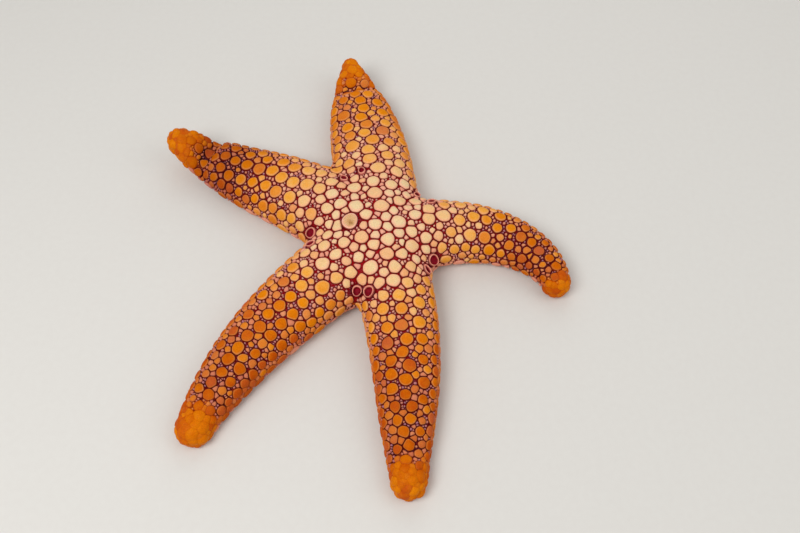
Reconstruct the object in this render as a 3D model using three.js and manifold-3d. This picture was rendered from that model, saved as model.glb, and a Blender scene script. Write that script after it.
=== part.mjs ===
// A five-armed sea star at rest, life size, in millimetres, +Z up.
//
// The body is one smooth form: a plan field joins five curved arms and a round disc, and a
// height rule raises a domed back over it and a flat underside below it. The form is laid out
// as rows of points across each arm and is parted by thin cuts into disc, arms and arm tips.
// The arms carry the usual letters: arm_a lies opposite the madreporite, and arm_b to arm_e
// follow anticlockwise when the back is looked at. The form is worked out round the middle of
// the disc, and then set so that the origin is on the floor under the middle of its box.

import * as THREE from 'three';
import { mergeVertices } from 'three/addons/utils/BufferGeometryUtils.js';
import Module from 'manifold-3d';

// Arms. bearing: where the arm leaves the middle; sweep and hook: how far it turns along its
// length, evenly and near its end (degrees); reach: middle to tip; root and end: half widths;
// taper: how late the arm narrows; curl: how far the tip lifts off the floor.
const ARMS = [
  {
    name: 'arm_a', bearing: 16.5, sweep: -31, hook: -62,
    reach: 50, root: 8.3, end: 3.3, taper: 2.2, curl: 0.6,
  },
  {
    name: 'arm_b', bearing: 88.6, sweep: 26, hook: -13,
    reach: 55.6, root: 9.8, end: 2.2, taper: 5, curl: 4,
  },
  {
    name: 'arm_c', bearing: 136.7, sweep: 38, hook: -19,
    reach: 59, root: 10, end: 3, taper: 3.3, curl: 5.5,
  },
  {
    name: 'arm_d', bearing: 216.6, sweep: 22, hook: 10,
    reach: 63.5, root: 9.3, end: 3.8, taper: 2.2, curl: 0,
  },
  {
    name: 'arm_e', bearing: 292, sweep: -40, hook: 20,
    reach: 61, root: 8.6, end: 3.6, taper: 2.6, curl: 0,
  },
];

// Where the middle of the disc lies from the origin.
const DISC_AT = [3.765, 2.669];

// Heights and section of the body.
const ROOT_HEIGHT = 11.2;
const TIP_HEIGHT = 5.8;
const HEIGHT_FALL = 1.6;
const DISC_RADIUS = 13.5;
const DISC_RISE = 1.4;
const RIM_LEVEL = 0.38;
const BACK_POWER = 2.2;
const BASE_POWER = 3.5;
const FLAT_SHARE = 1.06;
const JOIN_POWER = 8;
const CURL_START = 0.62;

// Underside: the feeding furrow along each arm and the mouth in the middle.
const FURROW_HALF = 1.7;
const FURROW_DEPTH = 1.5;
const FURROW_FADE = 4;
const MOUTH_RADIUS = 3;
const MOUTH_DEPTH = 2.6;
const MOUTH_RING_OUTER = 2.6;
const MOUTH_RING_INNER = 0.7;
const MOUTH_RING_BOTTOM = 0.9;
const MOUTH_RING_TOP = 2.1;

// The madreporite, the round sieve plate on the back.
const MADREPORITE_AT = [-6.2, 0.75];
const MADREPORITE_RADIUS = 1.95;
const MADREPORITE_PROUD = 0.25;
const MADREPORITE_SINK = 1.2;

// Cuts and lengths of the arm pieces.
const CUT = 0.3;
const AXIL_CLEAR = 0.5;
const SPLIT_SHARE = 0.52;
const TIP_LENGTH = 6.5;

// Resolution of the rows.
const SPINE_STEPS = 120;
const DISC_ROWS = 7;
const LENGTH_ROWS = 8;
const TIP_ROWS = 3;
const CAP_ROWS = 4;
const BACK_STEPS = 8;
const BASE_STEPS = 6;
const HALVINGS = 40;
const OUTWARD_STEP = 0.4;

const radians = THREE.MathUtils.degToRad;

// ---------------------------------------------------------------- the plan field

// The middle line of an arm: its heading is bearing + sweep t + hook t^3, followed in equal
// steps, and it stops one end width short of the tip so that the tip comes out round.
function spineOf(arm) {
  const length = arm.reach - arm.end;
  const step = length / SPINE_STEPS;
  const points = [new THREE.Vector2(0, 0)];
  for (let i = 0; i < SPINE_STEPS; i += 1) {
    const t = (i + 0.5) / SPINE_STEPS;
    const heading = radians(arm.bearing + arm.sweep * t + arm.hook * t ** 3);
    const ahead = new THREE.Vector2(Math.cos(heading), Math.sin(heading));
    points.push(points[i].clone().addScaledVector(ahead, step));
  }
  return { ...arm, length, step, points };
}

const arms = ARMS.map(spineOf);

// The point of the middle line at a distance along it, carried straight on past both ends.
function spinePoint(arm, along) {
  const at = THREE.MathUtils.clamp(along / arm.step, 0, SPINE_STEPS);
  const i = Math.min(Math.floor(at), SPINE_STEPS - 1);
  const point = arm.points[i].clone().lerp(arm.points[i + 1], at - i);
  const beyond = along - at * arm.step;
  return point.addScaledVector(spineHeading(arm, along), beyond);
}

function spineHeading(arm, along) {
  const t = THREE.MathUtils.clamp(along / arm.length, 0, 1);
  const heading = radians(arm.bearing + arm.sweep * t + arm.hook * t ** 3);
  return new THREE.Vector2(Math.cos(heading), Math.sin(heading));
}

// Nearest point of a middle line: how far off it is, and how far along the arm (0 to 1).
function nearest(arm, x, y) {
  let best = { away: Infinity, t: 0 };
  for (let i = 0; i < SPINE_STEPS; i += 1) {
    const a = arm.points[i];
    const b = arm.points[i + 1];
    const run = ((x - a.x) * (b.x - a.x) + (y - a.y) * (b.y - a.y)) / arm.step ** 2;
    const share = THREE.MathUtils.clamp(run, 0, 1);
    const away = Math.hypot(x - a.x - (b.x - a.x) * share, y - a.y - (b.y - a.y) * share);
    if (away < best.away) {
      best = { away, t: (i + share) / SPINE_STEPS };
    }
  }
  return best;
}

const halfWidth = (arm, t) => arm.root + (arm.end - arm.root) * t ** arm.taper;
const armHeight = (t) => ROOT_HEIGHT + (TIP_HEIGHT - ROOT_HEIGHT) * t ** HEIGHT_FALL;
const curlLift = (arm, t) => arm.curl * Math.max(0, (t - CURL_START) / (1 - CURL_START)) ** 2;

// edge is 0 on the middle lines and 1 on the outline: the reach of each arm and of the disc,
// as distance over half width, joined by a power mean. Heights are averaged the same way.
function planAt(x, y) {
  const near = arms.map((arm) => nearest(arm, x, y));
  const weights = near.map((n, i) => (n.away / halfWidth(arms[i], n.t) + 1e-3) ** -JOIN_POWER);
  const rho = Math.hypot(x, y);
  const disc = (rho / DISC_RADIUS + 1e-3) ** -JOIN_POWER;
  const total = weights.reduce((sum, w) => sum + w, disc);
  const height = weights.reduce((sum, w, i) => sum + w * armHeight(near[i].t), disc * ROOT_HEIGHT);
  const lift = weights.reduce((sum, w, i) => sum + w * curlLift(arms[i], near[i].t), 0);
  const rise = DISC_RISE * Math.exp(-((rho / DISC_RADIUS) ** 2));
  const furrow = near.reduce((low, n) => (n.away < low.away ? n : low));
  return { edge: total ** (-1 / JOIN_POWER), height: height / total + rise, lift: lift / total, rho, furrow };
}

// The back: a dome of power BACK_POWER from the rim up to the full height.
function backZ(x, y) {
  const plan = planAt(x, y);
  const rim = RIM_LEVEL * plan.height;
  const dome = (1 - Math.min(plan.edge, 1) ** BACK_POWER) ** (1 / BACK_POWER);
  return plan.lift + rim + (plan.height - rim) * dome;
}

// The underside: it turns in below the rim to a flat, with the furrows and the mouth let in.
function baseZ(x, y) {
  const plan = planAt(x, y);
  const rim = RIM_LEVEL * plan.height;
  const bowl = FLAT_SHARE * (1 - Math.min(plan.edge, 1) ** BASE_POWER) ** (1 / BASE_POWER);
  const fade = Math.min(1, ((1 - plan.furrow.t) * FURROW_FADE) ** 2);
  const furrow = FURROW_DEPTH * fade * Math.max(0, 1 - (plan.furrow.away / FURROW_HALF) ** 2);
  const mouth = MOUTH_DEPTH * Math.max(0, 1 - (plan.rho / MOUTH_RADIUS) ** 4);
  return plan.lift + Math.max(rim * (1 - bowl), furrow, mouth);
}

const edgeAt = (point) => planAt(point.x, point.y).edge;

// ---------------------------------------------------------------- rows across the arms

// Halves a stretch until the test changes sign: the last place where inside() holds.
function lastInside(low, high, inside) {
  let [a, b] = [low, high];
  for (let i = 0; i < HALVINGS; i += 1) {
    const middle = (a + b) / 2;
    if (inside(middle)) {
      a = middle;
    } else {
      b = middle;
    }
  }
  return a;
}

const polar = (radius, angle) => new THREE.Vector2(radius * Math.cos(angle), radius * Math.sin(angle));

// The line between two neighbouring arms, where both are equally near in half widths, given
// at a radius; it ends at the axil, where the outline crosses it.
function betweenArms(right, left) {
  const start = radians(right.bearing);
  const end = radians(left.bearing) + (left.bearing < right.bearing ? 2 * Math.PI : 0);
  const reachOf = (arm, p) => {
    const near = nearest(arm, p.x, p.y);
    return near.away / halfWidth(arm, near.t);
  };
  const pointAt = (radius) => {
    const nearRight = (angle) => {
      const p = polar(radius, angle);
      return reachOf(right, p) < reachOf(left, p);
    };
    return polar(radius, lastInside(start, end, nearRight));
  };
  const axilRadius = lastInside(2, 30, (radius) => edgeAt(pointAt(radius)) < 1);
  return { pointAt, axilRadius, axil: pointAt(axilRadius) };
}

const gaps = arms.map((arm, i) => betweenArms(arm, arms[(i + 1) % arms.length]));

// How far along the arm a point lies.
const alongOf = (arm, point) => nearest(arm, point.x, point.y).t * arm.length;

// The rim of an arm at a distance along it: out from the middle line, square to it, until the
// outline is met. side is +1 on the left and -1 on the right.
function rimPoint(arm, along, side) {
  const from = spinePoint(arm, along);
  const heading = spineHeading(arm, along);
  const out = new THREE.Vector2(-heading.y, heading.x).multiplyScalar(side);
  const inside = (d) => edgeAt(from.clone().addScaledVector(out, d)) < 1;
  let far = arm.end / 2;
  while (inside(far)) {
    far += OUTWARD_STEP;
  }
  return from.addScaledVector(out, lastInside(far - OUTWARD_STEP, far, inside));
}

// One row: from the left end through the middle line to the right end.
const rowOf = (left, middle, right) => ({ left, middle, right });

// Rows of the disc's share of an arm: they run between the two lines that part it from its
// neighbours. share is 0 in the middle of the disc and 1 at the axils.
function discRow(index, share) {
  const arm = arms[index];
  const leftGap = gaps[index];
  const rightGap = gaps[(index + arms.length - 1) % arms.length];
  const reach = (alongOf(arm, leftGap.axil) + alongOf(arm, rightGap.axil)) / 2;
  const rimShare = Math.sin(share * Math.PI / 2);
  const left = share < 1 ? leftGap.pointAt(leftGap.axilRadius * rimShare) : leftGap.axil;
  const right = share < 1 ? rightGap.pointAt(rightGap.axilRadius * rimShare) : rightGap.axil;
  return rowOf(left, spinePoint(arm, reach * share), right);
}

// Rows of the free arm. share is 0 just past the axils and 1 where the round end begins; the
// row starts slanted from axil to axil and comes square to the arm further out.
function armRow(index, share) {
  const arm = arms[index];
  const leftGap = gaps[index];
  const rightGap = gaps[(index + arms.length - 1) % arms.length];
  const start = [leftGap, rightGap].map((gap) => alongOf(arm, gap.axil) + AXIL_CLEAR);
  const [leftAlong, rightAlong] = start.map((s) => s + (arm.length - s) * share);
  const middle = (start[0] + start[1]) / 2;
  const middleAlong = middle + (arm.length - middle) * share;
  return rowOf(rimPoint(arm, leftAlong, 1), spinePoint(arm, middleAlong), rimPoint(arm, rightAlong, -1));
}

// Rows of the round end, by the angle that they have turned over it.
function capRow(index, share) {
  const arm = arms[index];
  const angle = share * Math.PI / 2;
  const middle = spinePoint(arm, arm.length + arm.end * Math.sin(angle));
  const heading = spineHeading(arm, arm.length);
  const out = new THREE.Vector2(-heading.y, heading.x).multiplyScalar(arm.end * Math.cos(angle));
  return rowOf(middle.clone().add(out), middle, middle.clone().sub(out));
}

// Points along one row. The back's steps crowd towards the rim, where it turns down; the
// underside's steps keep the furrow's edges.
function backShares() {
  return Array.from({ length: BACK_STEPS + 1 }, (_, i) => Math.sin((i / BACK_STEPS) * Math.PI / 2));
}

function baseShares(halfLength) {
  const lip = Math.min(0.6, (FURROW_HALF * 1.02) / Math.max(halfLength, 0.01));
  const rest = 1 - lip;
  return [0, lip / 2, lip, lip + rest * 0.4, lip + rest * 0.75, lip + rest * 0.93, 1];
}

function spread(row, sharesOf, zAt) {
  const leftShares = sharesOf(row.middle.distanceTo(row.left)).slice(1).reverse();
  const rightShares = sharesOf(row.middle.distanceTo(row.right));
  const place = (end, share) => row.middle.clone().lerp(end, share);
  const plan = [
    ...leftShares.map((share) => (share === 1 ? row.left.clone() : place(row.left, share))),
    ...rightShares.map((share) => (share === 1 ? row.right.clone() : place(row.right, share))),
  ];
  return plan.map((p) => new THREE.Vector3(p.x, p.y, zAt(p.x, p.y)));
}

function lineOf(row) {
  const back = spread(row, backShares, backZ);
  const base = spread(row, baseShares, baseZ);
  base[0] = back[0];
  base[base.length - 1] = back[back.length - 1];
  return { back, base };
}

// On a row inside the disc the two ends lie on its neighbours' rows, not on the rim.
function discLineOf(row) {
  return { back: spread(row, backShares, backZ), base: spread(row, baseShares, baseZ) };
}

// ---------------------------------------------------------------- closed pieces

// Collects triangles, leaving out those with no area.
class Skin {
  constructor() {
    this.positions = [];
  }

  triangle(a, b, c) {
    const area = b.clone().sub(a).cross(c.clone().sub(a)).length();
    if (area > 1e-7) {
      this.positions.push(a.x, a.y, a.z, b.x, b.y, b.z, c.x, c.y, c.z);
    }
  }

  quad(a, b, c, d) {
    this.triangle(a, b, c);
    this.triangle(a, c, d);
  }

  // Joins two rows of equal count; the first row is nearer the middle, both run left to right.
  strip(inner, outer) {
    for (let i = 0; i + 1 < inner.length; i += 1) {
      this.quad(inner[i], inner[i + 1], outer[i + 1], outer[i]);
    }
  }

  // Fills the upright wall between a back row and a base row that share the same plan line.
  wall(back, base) {
    const along = (p) => Math.hypot(p.x - back[0].x, p.y - back[0].y);
    let i = 0;
    let j = 0;
    while (i + 1 < back.length || j + 1 < base.length) {
      const stepBack = j + 1 >= base.length
        || (i + 1 < back.length && along(back[i + 1]) <= along(base[j + 1]));
      if (stepBack) {
        this.triangle(back[i], base[j], back[i + 1]);
        i += 1;
      } else {
        this.triangle(back[i], base[j], base[j + 1]);
        j += 1;
      }
    }
  }

  geometry() {
    const geometry = new THREE.BufferGeometry();
    geometry.setAttribute('position', new THREE.Float32BufferAttribute(this.positions, 3));
    return mergeVertices(geometry, 1e-4);
  }
}

const turned = (line) => ({ back: [...line.back].reverse(), base: [...line.base].reverse() });

// A length of arm between two sets of rows, closed by upright walls at both ends.
function armPiece(rows) {
  const skin = new Skin();
  const lines = rows.map(lineOf);
  for (let i = 0; i + 1 < lines.length; i += 1) {
    skin.strip(lines[i].back, lines[i + 1].back);
    skin.strip(lines[i + 1].base, lines[i].base);
  }
  const last = turned(lines[lines.length - 1]);
  skin.wall(lines[0].back, lines[0].base);
  skin.wall(last.back, last.base);
  return skin.geometry();
}

const steps = (count, from, to) => (
  Array.from({ length: count + 1 }, (_, i) => from + ((to - from) * i) / count)
);

function armRows(index, from, to, count) {
  return steps(count, from, to).map((share) => armRow(index, share));
}

function capRows(index) {
  return steps(CAP_ROWS, 0, 1).slice(1).map((share) => capRow(index, share));
}

// The disc: five shares of rows around the middle, and a wall along each cut.
function discBody() {
  const skin = new Skin();
  arms.forEach((arm, index) => {
    const lines = steps(DISC_ROWS, 0, 1).map((share) => discLineOf(discRow(index, share)));
    const outer = lines[lines.length - 1];
    [0, outer.back.length - 1].forEach((i) => {
      outer.base[i ? outer.base.length - 1 : 0] = outer.back[i];
    });
    for (let i = 0; i + 1 < lines.length; i += 1) {
      skin.strip(lines[i].back, lines[i + 1].back);
      skin.strip(lines[i + 1].base, lines[i].base);
    }
    const end = turned(outer);
    skin.wall(end.back, end.base);
  });
  return skin.geometry();
}

// ---------------------------------------------------------------- cuts

const wasm = await Module();
wasm.setup();

function solid(geometry) {
  const bare = geometry.clone();
  bare.deleteAttribute('normal');
  bare.deleteAttribute('uv');
  const merged = mergeVertices(bare, 1e-4);
  return new wasm.Manifold(new wasm.Mesh({
    numProp: 3,
    vertProperties: new Float32Array(merged.attributes.position.array),
    triVerts: new Uint32Array(merged.index.array),
  }));
}

function geometryOf(body) {
  const mesh = body.getMesh();
  const geometry = new THREE.BufferGeometry();
  geometry.setAttribute('position', new THREE.BufferAttribute(new Float32Array(mesh.vertProperties), 3));
  geometry.setIndex(new THREE.BufferAttribute(new Uint32Array(mesh.triVerts), 1));
  return geometry;
}

// A turned plug: a profile of radius and height round an upright axis.
function plug(profile, x, y, z, sides) {
  const points = profile.map(([radius, height]) => new THREE.Vector2(radius, height));
  const geometry = new THREE.LatheGeometry(points, sides);
  geometry.rotateX(Math.PI / 2);
  geometry.translate(x, y, z);
  return geometry;
}

// ---------------------------------------------------------------- the sea star

const COLOURS = { disc: '#e0a472', arm: '#e08a3c', tip: '#e8790a', plate: '#cdb37c', mouth: '#c98c70' };

function meshOf(name, geometry, colour) {
  const flat = geometry.index ? geometry.toNonIndexed() : geometry;
  flat.computeVertexNormals();
  const material = new THREE.MeshStandardMaterial({ color: colour, roughness: 0.5, metalness: 0 });
  const mesh = new THREE.Mesh(geometry, material);
  mesh.name = name;
  return mesh;
}

function discMesh() {
  const [x, y] = MADREPORITE_AT;
  const top = backZ(x, y);
  const pocketRadius = MADREPORITE_RADIUS + CUT;
  const sieveSeat = plug([
    [0, -MADREPORITE_SINK - CUT],
    [pocketRadius, -MADREPORITE_SINK - CUT],
    [pocketRadius, 3],
    [0, 3],
  ], x, y, top, 24);
  const mouthRadius = MOUTH_RING_OUTER + CUT;
  const mouthSeat = plug([
    [0, -1],
    [mouthRadius, -1],
    [mouthRadius, MOUTH_RING_TOP + CUT],
    [0, MOUTH_RING_TOP + CUT],
  ], 0, 0, 0, 24);
  const body = solid(discBody()).subtract(solid(sieveSeat)).subtract(solid(mouthSeat));
  return meshOf('disc', geometryOf(body), COLOURS.disc);
}

function madreporiteMesh() {
  const [x, y] = MADREPORITE_AT;
  const geometry = plug([
    [0, -MADREPORITE_SINK],
    [MADREPORITE_RADIUS, -MADREPORITE_SINK],
    [MADREPORITE_RADIUS, -0.3],
    [MADREPORITE_RADIUS * 0.9, 0],
    [MADREPORITE_RADIUS * 0.6, MADREPORITE_PROUD * 0.8],
    [0, MADREPORITE_PROUD],
  ], x, y, backZ(x, y), 24);
  return meshOf('madreporite', geometry, COLOURS.plate);
}

function mouthMesh() {
  const middle = (MOUTH_RING_BOTTOM + MOUTH_RING_TOP) / 2;
  const geometry = plug([
    [MOUTH_RING_INNER, middle],
    [MOUTH_RING_INNER + 0.4, MOUTH_RING_BOTTOM],
    [MOUTH_RING_OUTER - 0.4, MOUTH_RING_BOTTOM],
    [MOUTH_RING_OUTER, middle],
    [MOUTH_RING_OUTER, MOUTH_RING_TOP],
    [MOUTH_RING_INNER + 0.4, MOUTH_RING_TOP],
    [MOUTH_RING_INNER, middle],
  ], 0, 0, 0, 24);
  return meshOf('mouth', geometry, COLOURS.mouth);
}

function armMeshes(index) {
  const arm = arms[index];
  const free = arm.length - alongOf(arm, gaps[index].axil);
  const gap = CUT / free;
  const tipShare = 1 - (TIP_LENGTH - arm.end) / free;
  const split = SPLIT_SHARE;
  const base = armPiece(armRows(index, 0, split, LENGTH_ROWS));
  const end = armPiece(armRows(index, split + gap, tipShare, LENGTH_ROWS));
  const tip = armPiece([...armRows(index, tipShare + gap, 1, TIP_ROWS), ...capRows(index)]);
  return [
    meshOf(`${arm.name}_base`, base, COLOURS.arm),
    meshOf(`${arm.name}_end`, end, COLOURS.arm),
    meshOf(`${arm.name}_tip`, tip, COLOURS.tip),
  ];
}

const seaStar = new THREE.Group();
seaStar.position.set(DISC_AT[0], DISC_AT[1], 0);
seaStar.add(discMesh());
seaStar.add(madreporiteMesh());
seaStar.add(mouthMesh());
arms.forEach((arm, index) => seaStar.add(...armMeshes(index)));

export default seaStar;
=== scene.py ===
"""A five-armed sea star at rest, life size: a thin wet skin under a mosaic of rounded plates.

All shapes are worked out in millimetres round the middle of the disc, +Z up, and are set into
the frame in metres at the end. The body is a plan field (five curved arms and a disc, joined by
a power mean) under a dome rule, the same as the solids of the frame. Plates, granules, spines
and tube feet stand on the skin that lies inside that form.
"""
import math

import bmesh
import bpy
import numpy as np
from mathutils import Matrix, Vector


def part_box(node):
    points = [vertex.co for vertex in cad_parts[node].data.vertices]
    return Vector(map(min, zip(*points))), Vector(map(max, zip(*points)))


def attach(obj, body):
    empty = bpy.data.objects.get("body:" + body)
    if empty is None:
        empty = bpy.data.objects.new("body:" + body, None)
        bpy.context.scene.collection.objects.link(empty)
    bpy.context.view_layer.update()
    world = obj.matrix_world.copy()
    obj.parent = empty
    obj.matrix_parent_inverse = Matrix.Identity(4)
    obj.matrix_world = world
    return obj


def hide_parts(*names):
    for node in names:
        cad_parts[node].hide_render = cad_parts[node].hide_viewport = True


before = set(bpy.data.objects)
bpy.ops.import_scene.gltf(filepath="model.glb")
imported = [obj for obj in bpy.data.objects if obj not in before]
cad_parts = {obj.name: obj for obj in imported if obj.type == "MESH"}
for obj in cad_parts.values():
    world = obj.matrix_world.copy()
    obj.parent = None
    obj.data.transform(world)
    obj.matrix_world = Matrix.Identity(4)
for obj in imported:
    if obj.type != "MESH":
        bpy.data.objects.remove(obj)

MM = 0.001
SEED = 41
rng = np.random.default_rng(SEED)
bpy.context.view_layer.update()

# The middle of the disc is where the frame has the mouth.
mouth_low, mouth_high = (np.array(corner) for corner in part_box("mouth"))
DISC_AT = np.append((mouth_low + mouth_high)[:2] / 2, 0.0)
sieve_low, sieve_high = (np.array(corner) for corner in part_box("madreporite"))
SIEVE_AT = ((sieve_low + sieve_high) / 2 - DISC_AT) / MM
SIEVE_RADIUS = (sieve_high - sieve_low)[0] / 2 / MM
SIEVE_TOP = sieve_high[2] / MM
SIEVE_SPOT = np.array([SIEVE_AT[0], SIEVE_AT[1], SIEVE_TOP])

# ------------------------------------------------------------------ driving sizes (mm)

# bearing, sweep and hook in degrees; reach, root and end (half widths) in mm; taper says how
# late an arm narrows, curl how far its tip lifts, fold how deep the crease behind the tip is.
# tip is where the plates begin to merge into knobs and knobs how far these stand out; plates is
# how large the plates are beside the others', broad how much broader than long they are, gaps how
# much wider the gaps of the outer half are, brim how far the plates of the sides merge, cream
# over how many mm their colour turns from cream to orange, glow how much deeper that orange is,
# and the last how much darker the outer part is drawn: partly painted shade, partly the arm's own
# darker colour.
ARM_TABLE = {
    "arm_a": dict(
        bearing=16.5, sweep=-31, hook=-62, reach=50, root=8.3, end=3.3,
        taper=2.2, curl=0.6, fold=0.0,
        tip=0.965, knobs=0.8, plates=1.1, broad=0.18, gaps=0.8, brim=0.0,
        cream=27, glow=0.02, dusk=0.2),
    "arm_b": dict(
        bearing=88.6, sweep=26, hook=-13, reach=55.6, root=9.8, end=2.2,
        taper=5, curl=4, fold=0.34,
        tip=0.875, knobs=0.8, plates=1.3, broad=0.25, gaps=0.0, brim=0.2,
        cream=33, glow=-0.06, dusk=0.0),
    "arm_c": dict(
        bearing=136.7, sweep=38, hook=-19, reach=59, root=10, end=3,
        taper=3.3, curl=5.5, fold=0.42,
        tip=0.87, knobs=1.6, plates=1.28, broad=0.2, gaps=0.8, brim=0.1,
        cream=31, glow=-0.02, dusk=1.0),
    "arm_d": dict(
        bearing=216.6, sweep=22, hook=10, reach=63.5, root=9.3, end=3.8,
        taper=2.2, curl=0, fold=0.0,
        tip=0.9, knobs=1.0, plates=1.06, broad=0.04, gaps=0.0, brim=0.7,
        cream=22, glow=0.07, dusk=0.4),
    "arm_e": dict(
        bearing=292, sweep=-40, hook=20, reach=61, root=8.6, end=3.6,
        taper=2.6, curl=0, fold=0.12,
        tip=0.915, knobs=1.4, plates=1.06, broad=0.08, gaps=0.0, brim=0.7,
        cream=24, glow=0.1, dusk=0.3),
}
ARMS = list(ARM_TABLE.values())
NAMES = list(ARM_TABLE)

ROOT_HEIGHT = 11.2     # of an arm at the disc
TIP_HEIGHT = 5.8
HEIGHT_FALL = 1.6      # power with which the height falls along an arm
DISC_RADIUS = 13.5
DISC_RISE = 1.4        # how far the disc domes above the arms' roots
RIM_LEVEL = 0.38       # share of the height at which the outline lies
BACK_POWER = 2.2       # how square the section of the back is
BASE_POWER = 3.5       # the same for the underside
FLAT_SHARE = 1.06      # depth of the underside's bowl beside the rim's level; the floor cuts it flat
JOIN_POWER = 8         # how tightly the arms and the disc are joined
JOIN_FLOOR = 1e-3      # keeps the power mean finite on the middle lines
CURL_START = 0.62      # share of an arm from where its tip lifts
FOLD_LENGTH = 0.035    # how wide the crease behind a tip is, as a share of the arm

FURROW_HALF = 1.7      # half the width of a feeding furrow
FURROW_DEPTH = 1.5
FURROW_FADE = 4        # the furrow fades over the last quarter of the arm: 1 / 4
MOUTH_RADIUS = 3.0
MOUTH_DEPTH = 2.6

COAT = 0.55            # how far the skin of the back lies below the tops of the plates
UNDER_COAT = 0.38      # the same on the underside

LINE_STEPS = 120       # pieces of an arm's middle line
GRID = 0.25            # mm between the nodes on which the plan field is worked out
GRID_MARGIN = 12       # mm round the middle lines
LAST_SHARE = 0.999     # share of an arm from which a point lies round its end


# ------------------------------------------------------------------ the body

LENGTHS = np.array([arm["reach"] - arm["end"] for arm in ARMS])
# The arms' bearings in radians once round, with the first again at the end.
BEARINGS = np.radians([arm["bearing"] for arm in ARMS])
ROUND = np.append(BEARINGS, BEARINGS[0] + 2 * math.pi)


def turns(sides):
    """Evenly spaced angles once round."""
    return np.linspace(0, 2 * math.pi, sides, endpoint=False)


def direction(angle):
    """Level unit vectors at angles."""
    return np.stack([np.cos(angle), np.sin(angle)], -1)


def left_of(heading):
    """Level unit vectors a quarter turn to the left of others."""
    return np.stack([-heading[:, 1], heading[:, 0]], 1)


def ramp(value, start, length):
    """0 up to start, then straight up to 1 over the length; a negative length counts backwards."""
    return np.clip((value - start) / length, 0, 1)


def heading_at(i, t):
    """Unit heading of arm i at share t of its length: bearing + sweep t + hook t^3."""
    t = np.clip(t, 0, 1)
    arm = ARMS[i]
    return direction(np.radians(arm["bearing"] + arm["sweep"] * t + arm["hook"] * t ** 3))


def middle_lines():
    """The arms' middle lines: the heading followed in equal steps from the middle of the disc to
    one end width short of the tip."""
    t = (np.arange(LINE_STEPS) + 0.5) / LINE_STEPS
    strides = [heading_at(i, t) * (LENGTHS[i] / LINE_STEPS) for i in range(len(ARMS))]
    return np.array([np.vstack([np.zeros(2), np.cumsum(stride, 0)]) for stride in strides])


LINES = middle_lines()


def each_arm(key, plan):
    """A value of the arms' table for the arm of each point."""
    return np.array([arm[key] for arm in ARMS])[plan["arm"]]


def line_point(i, along):
    """Point of arm i's middle line at a distance along it, carried straight on past its end."""
    stations = np.linspace(0, LENGTHS[i], LINE_STEPS + 1)
    inside = np.clip(along, 0, LENGTHS[i])
    point = np.stack([np.interp(inside, stations, LINES[i][:, k]) for k in (0, 1)], -1)
    return point + heading_at(i, inside / LENGTHS[i]) * (along - inside)[..., None]


def nearest(i, xy):
    """Distance to arm i's middle line, share of its length there, and the signed offset, which
    is positive on the left: each point is dropped square onto the two pieces of the line that
    meet at its nearest corner."""
    away, share_along, side = (np.empty(len(xy)) for _ in range(3))
    line, step = LINES[i], LENGTHS[i] / LINE_STEPS
    for part in np.array_split(np.arange(len(xy)), len(xy) // 20000 + 1):
        p = xy[part]
        corner = ((p[:, None] - line[None]) ** 2).sum(2).argmin(1)
        best = np.full(len(p), np.inf)
        for first in (np.clip(corner - 1, 0, LINE_STEPS - 1), np.clip(corner, 0, LINE_STEPS - 1)):
            ahead = (line[first + 1] - line[first]) / step
            off = p - line[first]
            run = np.clip((off * ahead).sum(1), 0, step)
            gap = np.linalg.norm(off - ahead * run[:, None], axis=1)
            closer = gap < best
            best = np.where(closer, gap, best)
            share_along[part] = np.where(closer, (first + run / step) / LINE_STEPS, share_along[part])
            side[part] = np.where(closer, ahead[:, 0] * off[:, 1] - ahead[:, 1] * off[:, 0], side[part])
        away[part] = best
    return away, share_along, side


def half_width(i, t):
    """root + (end - root) t^taper."""
    arm = ARMS[i]
    return arm["root"] + (arm["end"] - arm["root"]) * t ** arm["taper"]


def arm_height(i, t):
    """Falls from the root height to the tip height as t^HEIGHT_FALL, with a crease at the fold."""
    crease = ARMS[i]["fold"] * np.exp(-((t - ARMS[i]["tip"]) / FOLD_LENGTH) ** 2)
    return (ROOT_HEIGHT + (TIP_HEIGHT - ROOT_HEIGHT) * t ** HEIGHT_FALL) * (1 - crease)


def curl_lift(curl, t):
    """How far the outer part of an arm lifts: curl ((t - start) / (1 - start))^2 from CURL_START
    on, and nothing before it."""
    return curl * np.clip((t - CURL_START) / (1 - CURL_START), 0, None) ** 2


def plan_at(xy):
    """The plan field. edge is 0 on the middle lines and 1 on the outline: distance over half
    width for each arm and the disc, joined by a power mean; height and lift are averaged with
    the same weights. arm, t and side belong to the nearest arm, and far is t counted on over the
    round end of the arm."""
    near = [nearest(i, xy) for i in range(len(ARMS))]
    rho = np.hypot(xy[:, 0], xy[:, 1])
    total = (rho / DISC_RADIUS + JOIN_FLOOR) ** -JOIN_POWER
    height, lift = total * ROOT_HEIGHT, np.zeros(len(xy))
    reach = []
    for i, (away, t, _) in enumerate(near):
        reach.append(away / half_width(i, t))
        weight = (reach[-1] + JOIN_FLOOR) ** -JOIN_POWER
        total = total + weight
        height = height + weight * arm_height(i, t)
        lift = lift + curl_lift(weight * ARMS[i]["curl"], t)
    arm = np.array(reach).argmin(0)
    pick = np.arange(len(xy))
    away, t, side = (np.array([n[k] for n in near])[arm, pick] for k in range(3))
    past = np.where(t > LAST_SHARE, np.sqrt(np.clip(away ** 2 - side ** 2, 0, None)), 0)
    rise = DISC_RISE * np.exp(-(rho / DISC_RADIUS) ** 2)
    return dict(edge=total ** (-1 / JOIN_POWER), height=height / total + rise, lift=lift / total,
                rho=rho, arm=arm, away=away, t=t, side=side, far=t + past / LENGTHS[arm])


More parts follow.
